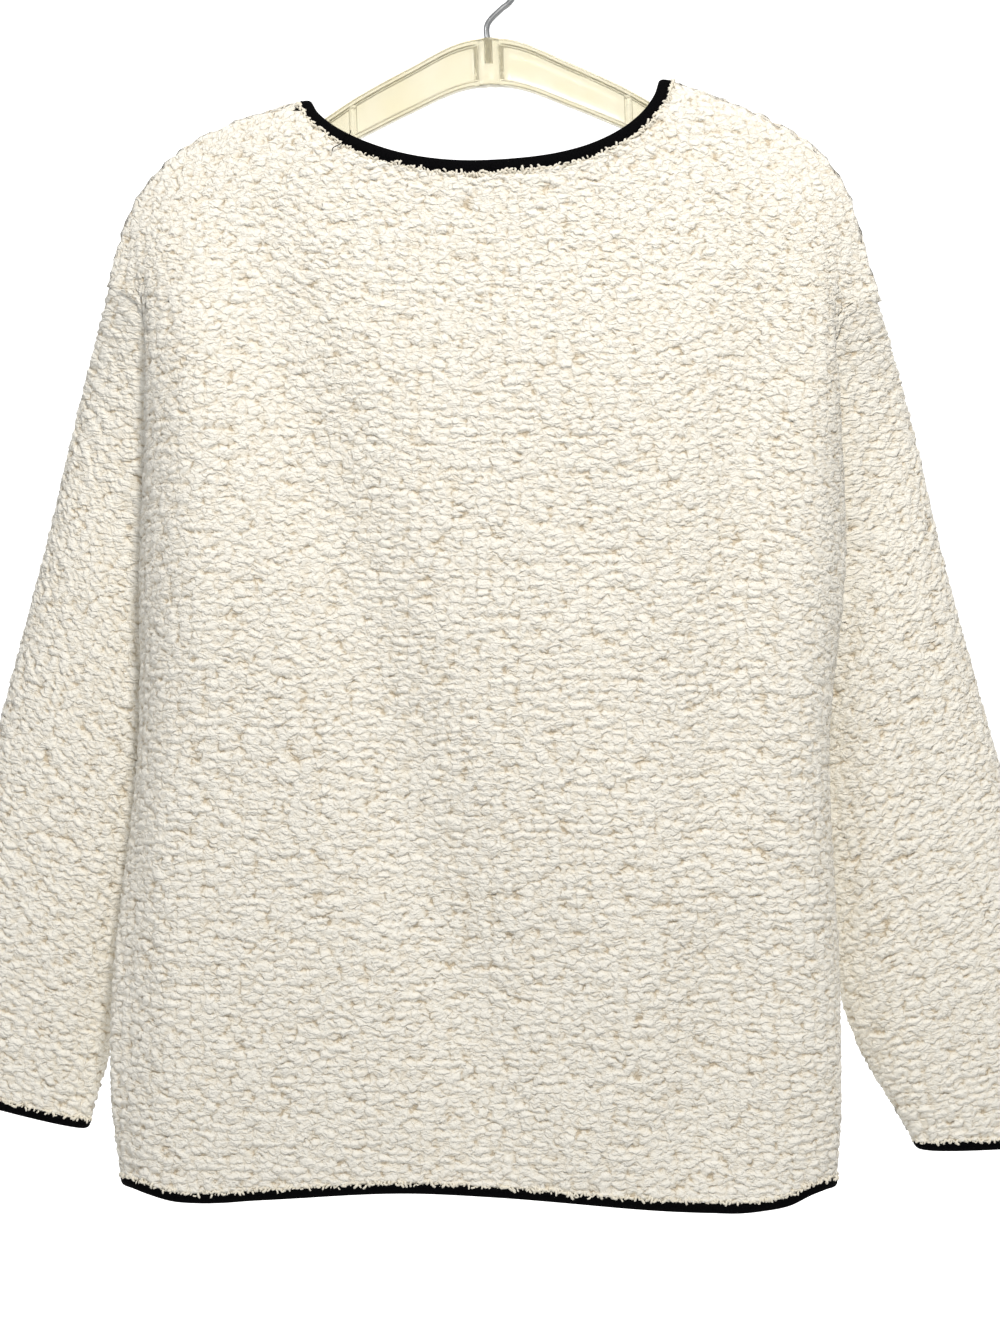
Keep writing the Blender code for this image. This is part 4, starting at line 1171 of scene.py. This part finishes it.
# %% Fold the bindings round
# share of the way out, share of the depth
SECTION = ((0.0, 0.14), (0.05, 0.03), (0.2, -0.03), (0.45, -0.05), (0.68, -0.02), (0.84, 0.08), (0.95, 0.25),
           (1.0, 0.5))
SECTION += tuple((out, 1 - deep) for out, deep in SECTION[-2::-1])
bindings, guides = {}, {}
for node, edge, normals, away, height in edges:
    (path, stands, away), reach = round_the_edge([edge, normals, away], 2.0 * MM)
    stands, away = unit(stands), unit(away)
    thick = WALL + 2 * BAND_PROUD
    tube = np.stack([path + away * (BAND_GAP + out * (height - BAND_GAP))
                     - stands * (deep * thick - BAND_PROUD) for out, deep in SECTION], axis=1)
    count, last = tube.shape[1], (len(path) - 1) * tube.shape[1]
    faces = grid_quads(len(path), count, True, 0)
    faces += [[last + k, last + (k + 1) % count, (k + 1) % count, k] for k in range(count)]
    binding = finished_mesh("rib_" + node, tube.reshape(-1, 3), faces)
    round_it = lengths_along(tube[0])
    lay_cloth_map(binding, np.stack(np.meshgrid(reach, round_it, indexing="ij"), axis=-1).reshape(-1, 2))
    binding.data.materials.append(RIB)
    bindings[node] = binding
    guides[node] = (path, stands, away)
    print(node, round(float(reach[-1]), 3), "m round,", len(binding.data.polygons), "faces")

# %% [markdown]
# ## Stitches and curls along the bindings
#
# A row of stitches holds each binding, close to the pile, and the pile leans over it: curls spill across
# the edge by a few millimetres, some more than others, so that the black line never looks ruled. Both
# follow a line and both repeat, so Geometry Nodes set them along the same guide. One stitch or one curl has
# only a few dozen faces.

# %% Guide lines
def guide_line(name, points, stands, away):
    """A closed line of points that knows which way its cloth faces and which way its edge looks."""
    mesh = bpy.data.meshes.new(name)
    mesh.from_pydata(points.tolist(), [(k, (k + 1) % len(points)) for k in range(len(points))], [])
    obj = new_object(name, mesh)
    keep_vector(obj, "stands", stands)
    keep_vector(obj, "away", away)
    return obj


def line_tree(name, sizes):
    """Start a tree that walks along a line at an even pitch."""
    sizes = tuple((size, "Float") for size in sizes + ("Pitch",))
    tree, given = new_tree(name, sizes + (("Seed", "Int"), ("Finish", "Material")))
    line = add(tree, "GeometryNodeMeshToCurve", {"Mesh": given["Geometry"]})
    even = add(tree, "GeometryNodeResampleCurve", {"Curve": line.outputs[0], "Length": given["Pitch"]},
               mode="LENGTH")
    return tree, given, even.outputs[0]


def strand(tree, curve, radius, fatness):
    """A round strand along a curve, whose thickness varies with fatness along it."""
    tapered = add(tree, "GeometryNodeSetCurveRadius", {"Curve": curve, "Radius": fatness})
    ring = add(tree, "GeometryNodeCurvePrimitiveCircle", {"Resolution": 6, "Radius": radius})
    tube = {"Curve": tapered.outputs[0], "Profile Curve": ring.outputs[0], "Fill Caps": True}
    return add(tree, "GeometryNodeCurveToMesh", tube).outputs[0]


def close_tree(tree, given, points, instance, turn, scale):
    """Set the instance on the points, make it real, and give it its finish."""
    placed = add(tree, "GeometryNodeInstanceOnPoints", {"Points": points, "Instance": instance,
                                                        "Rotation": turn, "Scale": scale})
    real = add(tree, "GeometryNodeRealizeInstances", {"Geometry": placed.outputs[0]})
    soft = add(tree, "GeometryNodeSetShadeSmooth", {"Geometry": real.outputs[0]})
    finish = add(tree, "GeometryNodeSetMaterial", {"Geometry": soft.outputs[0], "Material": given["Finish"]})
    add(tree, "NodeGroupOutput", {"Geometry": finish.outputs[0]})
    return tree


print("guides for", list(guides))


# %% One curl, set along an edge
def curl_tree():
    """Loops of pile that stand on an edge and lean out over the binding."""
    tree, given, points = line_tree("curls_along_an_edge", ("Loop", "Yarn"))
    start, sweep = math.radians(200), math.radians(-285)
    loop = add(tree, "GeometryNodeCurveArc", {"Resolution": 8, "Radius": given["Loop"], "Start Angle": start,
                                              "Sweep Angle": sweep})
    upright = add(tree, "GeometryNodeTransform", {"Geometry": loop.outputs[0],
                                                  "Rotation": (math.radians(90), 0.0, 0.0)})
    along = add(tree, "GeometryNodeSplineParameter").outputs["Factor"]
    fat = add(tree, "ShaderNodeMath", {0: along, 1: -0.45, 2: 1.15}, operation="MULTIPLY_ADD")
    curl = strand(tree, upright.outputs[0], given["Yarn"], fat.outputs[0])
    stands, away = (add(tree, "GeometryNodeInputNamedAttribute", {"Name": name},
                        data_type="FLOAT_VECTOR").outputs[0] for name in ("stands", "away"))
    least, most = (-1.6 * MM, -1.4 * MM, 0.65), (0.9 * MM, 0.1 * MM, 1.35)
    chance = add(tree, "FunctionNodeRandomValue", {0: least, 1: most, "Seed": given["Seed"]},
                 data_type="FLOAT_VECTOR")
    out, up, size = add(tree, "ShaderNodeSeparateXYZ", {0: chance.outputs[0]}).outputs
    set_off = add(tree, "ShaderNodeVectorMath", {0: away, "Scale": out}, operation="SCALE")
    sunk = add(tree, "ShaderNodeVectorMath", {0: stands, "Scale": up}, operation="SCALE")
    moved = add(tree, "ShaderNodeVectorMath", {0: set_off.outputs[0], 1: sunk.outputs[0]}, operation="ADD")
    spread = add(tree, "GeometryNodeSetPosition", {"Geometry": points, "Offset": moved.outputs[0]})
    square = add(tree, "FunctionNodeAxesToRotation", {"Primary Axis": stands, "Secondary Axis": away},
                 primary_axis="Z", secondary_axis="X")
    later = add(tree, "ShaderNodeMath", {0: given["Seed"], 1: 101.0}, operation="ADD")
    twist = add(tree, "FunctionNodeRandomValue", {0: (-0.5, -0.5, -1.5), 1: (0.5, 0.6, 1.5),
                                                  "Seed": later.outputs[0]}, data_type="FLOAT_VECTOR")
    turned = add(tree, "FunctionNodeRotateRotation",
                 {"Rotation": square.outputs[0], "Rotate By": twist.outputs[0]}, rotation_space="LOCAL")
    return close_tree(tree, given, spread.outputs[0], curl, turned.outputs[0], size)


CURLS = curl_tree()
print(CURLS.name, len(CURLS.nodes), "nodes")


# %% One stitch, set along an edge
def stitch_tree():
    """Short straight stitches laid end to end with a small gap."""
    tree, given, points = line_tree("stitches_along_an_edge", ("Length", "Thread"))
    ahead = add(tree, "ShaderNodeVectorMath", {0: (0.0, 0.0, 0.5), "Scale": given["Length"]},
                operation="SCALE")
    behind = add(tree, "ShaderNodeVectorMath", {0: ahead.outputs[0], "Scale": -1.0}, operation="SCALE")
    run = add(tree, "GeometryNodeCurvePrimitiveLine", {"Start": behind.outputs[0], "End": ahead.outputs[0]})
    steps = add(tree, "GeometryNodeResampleCurve", {"Curve": run.outputs[0], "Count": 5})
    along = add(tree, "GeometryNodeSplineParameter").outputs["Factor"]
    middle = add(tree, "ShaderNodeMath", {0: along, 1: math.pi}, operation="MULTIPLY")
    full = add(tree, "ShaderNodeMath", {0: middle.outputs[0]}, operation="SINE")
    fat = add(tree, "ShaderNodeMath", {0: full.outputs[0], 1: 0.6, 2: 0.4}, operation="MULTIPLY_ADD")
    stitch = strand(tree, steps.outputs[0], given["Thread"], fat.outputs[0])
    tangent = add(tree, "GeometryNodeInputTangent").outputs[0]
    turned = add(tree, "FunctionNodeAlignRotationToVector", {"Vector": tangent}, axis="Z")
    return close_tree(tree, given, points, stitch, turned.outputs[0], (1.0, 1.0, 1.0))


STITCHES = stitch_tree()
print(STITCHES.name, len(STITCHES.nodes), "nodes")

# %% Sew and brush each edge
STITCH_IN, STITCH_UP = BAND_GAP + 2.2 * MM, BAND_PROUD + 0.15 * MM
STITCH = {"Pitch": 3.0 * MM, "Length": 2.3 * MM, "Thread": 0.28 * MM, "Seed": 1, "Finish": RIB}
CURL_LOOP, CURL_YARN = 1.15 * MM, 0.62 * MM
# name, mm over the binding, mm proud, mm apart
CURL_ROWS = (("inner", 0.2, -0.1, 2.0), ("outer", 0.9, 0.2, 2.6))
trims = {}
for number, (node, (path, stands, away)) in enumerate(guides.items()):
    row = guide_line("stitches_" + node, path + away * STITCH_IN + stands * STITCH_UP, stands, away)
    grow(row, STITCHES, STITCH)
    trims[node] = [row]
    for name, over, proud, pitch in CURL_ROWS:
        brushed = path + away * over * MM + stands * proud * MM
        line = guide_line("curls_" + node + "_" + name, brushed, stands, away)
        grow(line, CURLS, {"Pitch": pitch * MM * coarser, "Loop": CURL_LOOP, "Yarn": CURL_YARN,
                           "Seed": 17 * number + round(10 * over), "Finish": CURL})
        trims[node].append(line)
    print(node, [len(trim.data.polygons) for trim in trims[node]], "faces")

# %% [markdown]
# ## Wire and thread
#
# A wire or a thread is a round section along a curve, so a curve with a bevel is the whole of it. The hook
# is drawn wire bent cold: a straight stem, a swing, and three quarters of a circle. Where the neck binding
# was joined, the overlap was tacked, and three ends of black thread were left.

# %% Bend a wire
WELD = 0.01 * MM


def bend_wire(name, route, thickness, sides, finish):
    """A round wire along a route, with round ends, as a plain mesh."""
    curve = bpy.data.curves.new(name, "CURVE")
    curve.dimensions = "3D"
    curve.bevel_depth = thickness / 2
    curve.bevel_resolution = sides
    curve.use_fill_caps = True
    spline = curve.splines.new("POLY")
    spline.points.add(len(route) - 1)
    reach = lengths_along(route)
    to_end = np.minimum(reach, reach[-1] - reach) / (thickness / 2)
    radii = np.sqrt(np.clip(1 - (1 - np.clip(to_end, 0, 1)) ** 2, 0.04, 1))
    for point, (x, y, z), radius in zip(spline.points, route, radii):
        point.co = (x, y, z, 1.0)
        point.radius = radius
    bent = new_object(name, curve)
    view = bpy.context.evaluated_depsgraph_get()
    mesh = bpy.data.meshes.new_from_object(bent.evaluated_get(view), depsgraph=view)
    bpy.data.objects.remove(bent)
    face_outwards(mesh, WELD)
    mesh.materials.clear()
    mesh.materials.append(finish)
    return new_object(name, mesh)


print("points of a wire closer than", WELD / MM, "mm are joined")


# %% Round the ends of a wire
def end_rounded(route, thickness):
    """A route with a few more points close to each end, for its round ends."""
    reach = lengths_along(route)
    near = thickness / 2 * np.array([0.0, 0.06, 0.2, 0.45, 0.75])
    places = np.concatenate([near, np.linspace(thickness / 2, reach[-1] - thickness / 2, len(route)),
                             reach[-1] - near[::-1]])
    return np.column_stack([np.interp(places, reach, route[:, k]) for k in range(3)])


print("a 4 mm wire gets", len(end_rounded(np.array([[0.0, 0.0, 0.0], [0.0, 0.0, 0.1]]), 4.0 * MM)), "points")

# %% The hook
HOOK_WIRE, HOOK_RADIUS = 4.0 * MM, 21.0 * MM
HOOK_NECK, STEM_DEPTH = 7.0 * MM, 16.0 * MM
HANGER_TILT = math.radians(2.2)
HUB_TOP = -56.0 * MM
centre = HOOK_WIRE / 2 - HOOK_RADIUS
stem = [(-z * math.sin(HANGER_TILT), 0.0, z)
        for z in np.linspace(HUB_TOP - STEM_DEPTH, centre - HOOK_RADIUS - HOOK_NECK, 3)]
bow = [(HOOK_RADIUS * math.cos(a), 0.0, centre + HOOK_RADIUS * math.sin(a))
       for a in np.radians(np.arange(-60, 211, 15))]
route = end_rounded(smooth_curve(stem + bow, np.linspace(0, 1, 120)), HOOK_WIRE)
hook = bend_wire("plated_hanger_hook", route, HOOK_WIRE, 6, WIRE)
top = max(vertex.co.z for vertex in hook.data.vertices)
print("hook", len(hook.data.polygons), "faces, top at", round(top / MM, 1), "mm")

# %% Thread ends at the join of the neck binding
JOIN_OUT = -0.090                # how far along x the join lies on the back
path, stands, away = guides["neck_binding"]
on_back = np.flatnonzero(path[:, 1] < 0)
join = on_back[np.argmin(np.abs(path[on_back, 0] - JOIN_OUT))]
spot, out_of, over = path[join], stands[join], away[join]
beside = np.cross(out_of, over)
THREADS = (                      # mm away from the pile, mm proud, mm to the side
    ("tack_thread_low", ((3.0, 1.4, 0.0), (0.2, 2.9, -0.6), (-2.8, 3.3, 0.4), (-5.8, 3.1, 2.0),
                         (-8.0, 2.7, 1.4))),
    ("tack_thread_high", ((7.0, 1.2, -1.0), (9.3, 1.3, -0.6), (10.8, 0.4, 0.4), (11.6, -0.8, 0.9))),
    ("tack_thread_cross", ((1.2, 1.0, 1.4), (3.4, 1.35, 0.9), (6.0, 1.3, 1.1), (8.2, 0.8, 0.6))),
)
THREAD = 0.6 * MM
threads = []
for name, knots in THREADS:
    route = smooth_curve([spot + (over * a + out_of * p + beside * s) * MM for a, p, s in knots],
                         np.linspace(0, 1, 24))
    threads.append(bend_wire(name, end_rounded(route, THREAD), THREAD, 2, RIB))
print(len(threads), "threads at", spot.round(3))

# %% [markdown]
# ## The hanger
#
# A moulded hanger is an I-beam that tapers to its ends: a thin web between two thicker rims, a hub that
# takes the hook, and an upright rib in each arm. Joining one section after another gives that, and a small
# bevel rounds every corner as the mould does.

# %% Sections of the hanger
HALF_SPAN, WEB, RIM_HALF, RIM_HEIGHT = 204.0, 1.3, 4.0, 3.4
HUB_HALF, RIB_X, RIB_HALF = 5.4, 88.0, 3.4
ARM = (                         # name, x, top z, low z
    ("hub", 0.0, -56.0, -86.0),
    ("hub side", 14.0, -57.5, -87.5),
    ("inner arm", 52.0, -74.0, -102.0),
    ("rib", 84.0, -90.0, -116.5),
    ("shoulder", 120.0, -111.5, -132.0),
    ("outer arm", 169.0, -131.0, -150.5),
    ("bend", 187.0, -141.5, -157.5),
    ("tip", 199.0, -154.0, -165.0),
    ("end", 204.0, -160.0, -166.5),
)


def swell(x, middle, half):
    """1 over a short flat stretch about middle, falling to 0 at its sides."""
    return float(np.clip(1.5 - abs(x - middle) / half, 0, 1))


def hanger_section(x):
    """The I-shaped section of the hanger at x, as (y, z) pairs."""
    top, low = smooth_value(ARM, 1, 2, abs(x)), smooth_value(ARM, 1, 3, abs(x))
    web = WEB + (HUB_HALF - WEB) * swell(x, 0.0, 7.0) + (RIB_HALF - WEB) * swell(abs(x), RIB_X, 1.6)
    rim_half, tall = max(RIM_HALF, web + 0.2), min(RIM_HEIGHT, 0.3 * (top - low))
    right = [(rim_half, top - 0.8), (rim_half, top - tall), (web, top - tall - 0.8),
             (web, low + tall + 0.8), (rim_half, low + tall), (rim_half, low + 0.8)]
    crown = [(rim_half - 0.9, low), (0.9 - rim_half, low)]
    left = [(-y, z) for y, z in right[::-1]]
    return right + crown + left + [(0.9 - rim_half, top), (rim_half - 0.9, top)]


print("section at the rib", hanger_section(RIB_X)[:3])


# %% Join the sections
def tilted(x, y, z):
    """Tip a point of the hanger about the top of the hook, its left end lower."""
    return ((x * math.cos(HANGER_TILT) - z * math.sin(HANGER_TILT)) * MM, y * MM,
            (z * math.cos(HANGER_TILT) + x * math.sin(HANGER_TILT)) * MM)


half = [0.0, 3.5, 5.5, 7.0, 8.5, 10.5, 14.0] + list(np.arange(20.0, 85.0, 5.0))
half += [RIB_X + d for d in (-2.4, -1.6, -0.8, 0.8, 1.6, 2.4)] + list(np.arange(95.0, 185.0, 5.0))
half += [188.0, 192.0, 196.0, 200.0, 202.5, HALF_SPAN]
stations = [-x for x in half[:0:-1]] + half
sections = [hanger_section(x) for x in stations]
count, last = len(sections[0]), (len(stations) - 1) * len(sections[0])
faces = grid_quads(len(stations), count, True, 0) + [list(range(count)), list(range(last, last + count))]
hanger = finished_mesh("clear_hanger_body", [tilted(x, y, z) for x, section in zip(stations, sections)
                                             for y, z in section], faces)
SOCKET_ROOM = 0.3 * MM
bpy.ops.mesh.primitive_cylinder_add(
    vertices=32, radius=HOOK_WIRE / 2 + SOCKET_ROOM, depth=2 * (STEM_DEPTH + SOCKET_ROOM),
    location=tilted(0.0, 0.0, HUB_TOP / MM), rotation=(0.0, -HANGER_TILT, 0.0))
socket = bpy.context.object
drill = hanger.modifiers.new("socket_for_the_hook", "BOOLEAN")
drill.operation, drill.solver, drill.object = "DIFFERENCE", "EXACT", socket
rounded = hanger.modifiers.new("rounded_as_moulded", "BEVEL")
rounded.width, rounded.segments = 0.35 * MM, 2
rounded.limit_method, rounded.angle_limit = "ANGLE", math.radians(35)
plain_mesh(hanger)
bpy.data.objects.remove(socket)
hanger.data.materials.clear()
hanger.data.materials.append(PLASTIC)
hanger.data.shade_smooth()
print("hanger", len(hanger.data.polygons), "faces")

# %% [markdown]
# ## Hand the pieces over
#
# Every piece rides on the one body, and a piece that stands for a node of the imported model hides that node.
# The size that each of the four walls of cloth was cut to, and its area, were measured as it was cut.

# %% Ride and replace
def hand_over(piece, node=None):
    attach(piece, "root")
    if node:
        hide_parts(node)


for node, piece in cloth.items():
    hand_over(piece, node)
for node, piece in bindings.items():
    hand_over(piece, node)
    for trim in trims[node]:
        hand_over(trim)
for thread in threads:
    hand_over(thread)
hand_over(hanger, "hanger_body")
hand_over(hook, "hanger_hook")

NECK_AND_HEM = [bindings[node] for node in ("neck_binding", "hem_binding")] + threads
NECK_AND_HEM += trims["neck_binding"] + trims["hem_binding"]
print("cloth in all", round(sum(flat_areas.values()), 2), "square metres")

# %% [markdown]
# ## Studio
#
# Pale cloth on a pale ground needs a light that comes mostly from above and a little from the right, or its
# pile disappears. The floor stays dull, so that little light comes back up from it. The paper behind glows
# as a lit paper roll does, so it stays white while the cloth keeps its shade.

# %% Floor and backdrop
FLOOR, WALL_BEHIND, WALL_TOP, ROOM, WALL_GLOW = -1.9, 3.4, 3.0, 4.0, 0.95


def paper_sheet(name, corners, glow):
    """A plain pale sheet of studio paper."""
    mesh = bpy.data.meshes.new(name)
    mesh.from_pydata(corners, [], [(0, 1, 2, 3)])
    made, tree, shader = new_material(name, 0.9, Emission_Color=linear("#FFFFFF"), Emission_Strength=glow)
    place = add(tree, "ShaderNodeTexCoord").outputs["Object"]
    grain = add(tree, "ShaderNodeTexNoise", {"Vector": place, "Scale": 1 / (12 * MM), "Detail": 3.0})
    tone = add(tree, "ShaderNodeMix",
               {"Factor": grain.outputs[0], 6: linear("#F3F3F2"), 7: linear("#FCFCFB")}, data_type="RGBA")
    finish_with(tree, shader, tone.outputs[2], grain.outputs[0], 0.1 * MM, 0.1)
    mesh.materials.append(made)
    return new_object(name, mesh)


floor = paper_sheet("studio_floor", [
    (-ROOM, -ROOM, FLOOR), (ROOM, -ROOM, FLOOR), (ROOM, WALL_BEHIND, FLOOR),
    (-ROOM, WALL_BEHIND, FLOOR)], 0.0)
backdrop = paper_sheet("studio_backdrop", [
    (-ROOM, WALL_BEHIND, FLOOR), (ROOM, WALL_BEHIND, FLOOR), (ROOM, WALL_BEHIND, WALL_TOP),
    (-ROOM, WALL_BEHIND, WALL_TOP)], WALL_GLOW)
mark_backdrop(floor, backdrop)
print("floor", FLOOR, "m below the hook")


# %% Lights
def soft_light(name, place, aim, size, power, colour):
    light = bpy.data.lights.new(name, "AREA")
    light.shape = "DISK"
    light.size, light.energy, light.color = size, power, linear(colour)[:3]
    obj = new_object(name, light)
    obj.location = place
    toward = np.subtract(aim, place)
    obj.rotation_euler = (math.atan2(math.hypot(toward[0], toward[1]), -toward[2]), 0.0,
                          math.atan2(-toward[0], toward[1]))
    return obj


LIGHTS = (                      # name, place, aim, size in metres, watts, colour
    ("key_light", (0.35, -1.5, 1.15), (0.0, 0.0, -0.4), 0.4, 34.5, "#FFFBF4"),
    ("side_fill", (-1.4, -1.7, 0.4), (-0.1, 0.0, -0.3), 0.8, 4.5, "#FFFFFF"),
)
ROOM_LIGHT = 0.36
lights = [soft_light(*row) for row in LIGHTS]
sky = bpy.data.worlds.new("studio_room")
sky.use_nodes = True
around = sky.node_tree.nodes["Background"].inputs
around["Color"].default_value, around["Strength"].default_value = linear("#FFFFFF"), ROOM_LIGHT
scene.world = sky
scene.view_settings.view_transform = "Standard"
print(len(lights), "lights")

# %% Measure and finish
low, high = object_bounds()
proud = [max(a - c, d - b) for a, b, c, d in zip(cad_low, cad_high, low, high)]
print("stands proud by", [round(over / MM, 1) for over in proud], "mm")
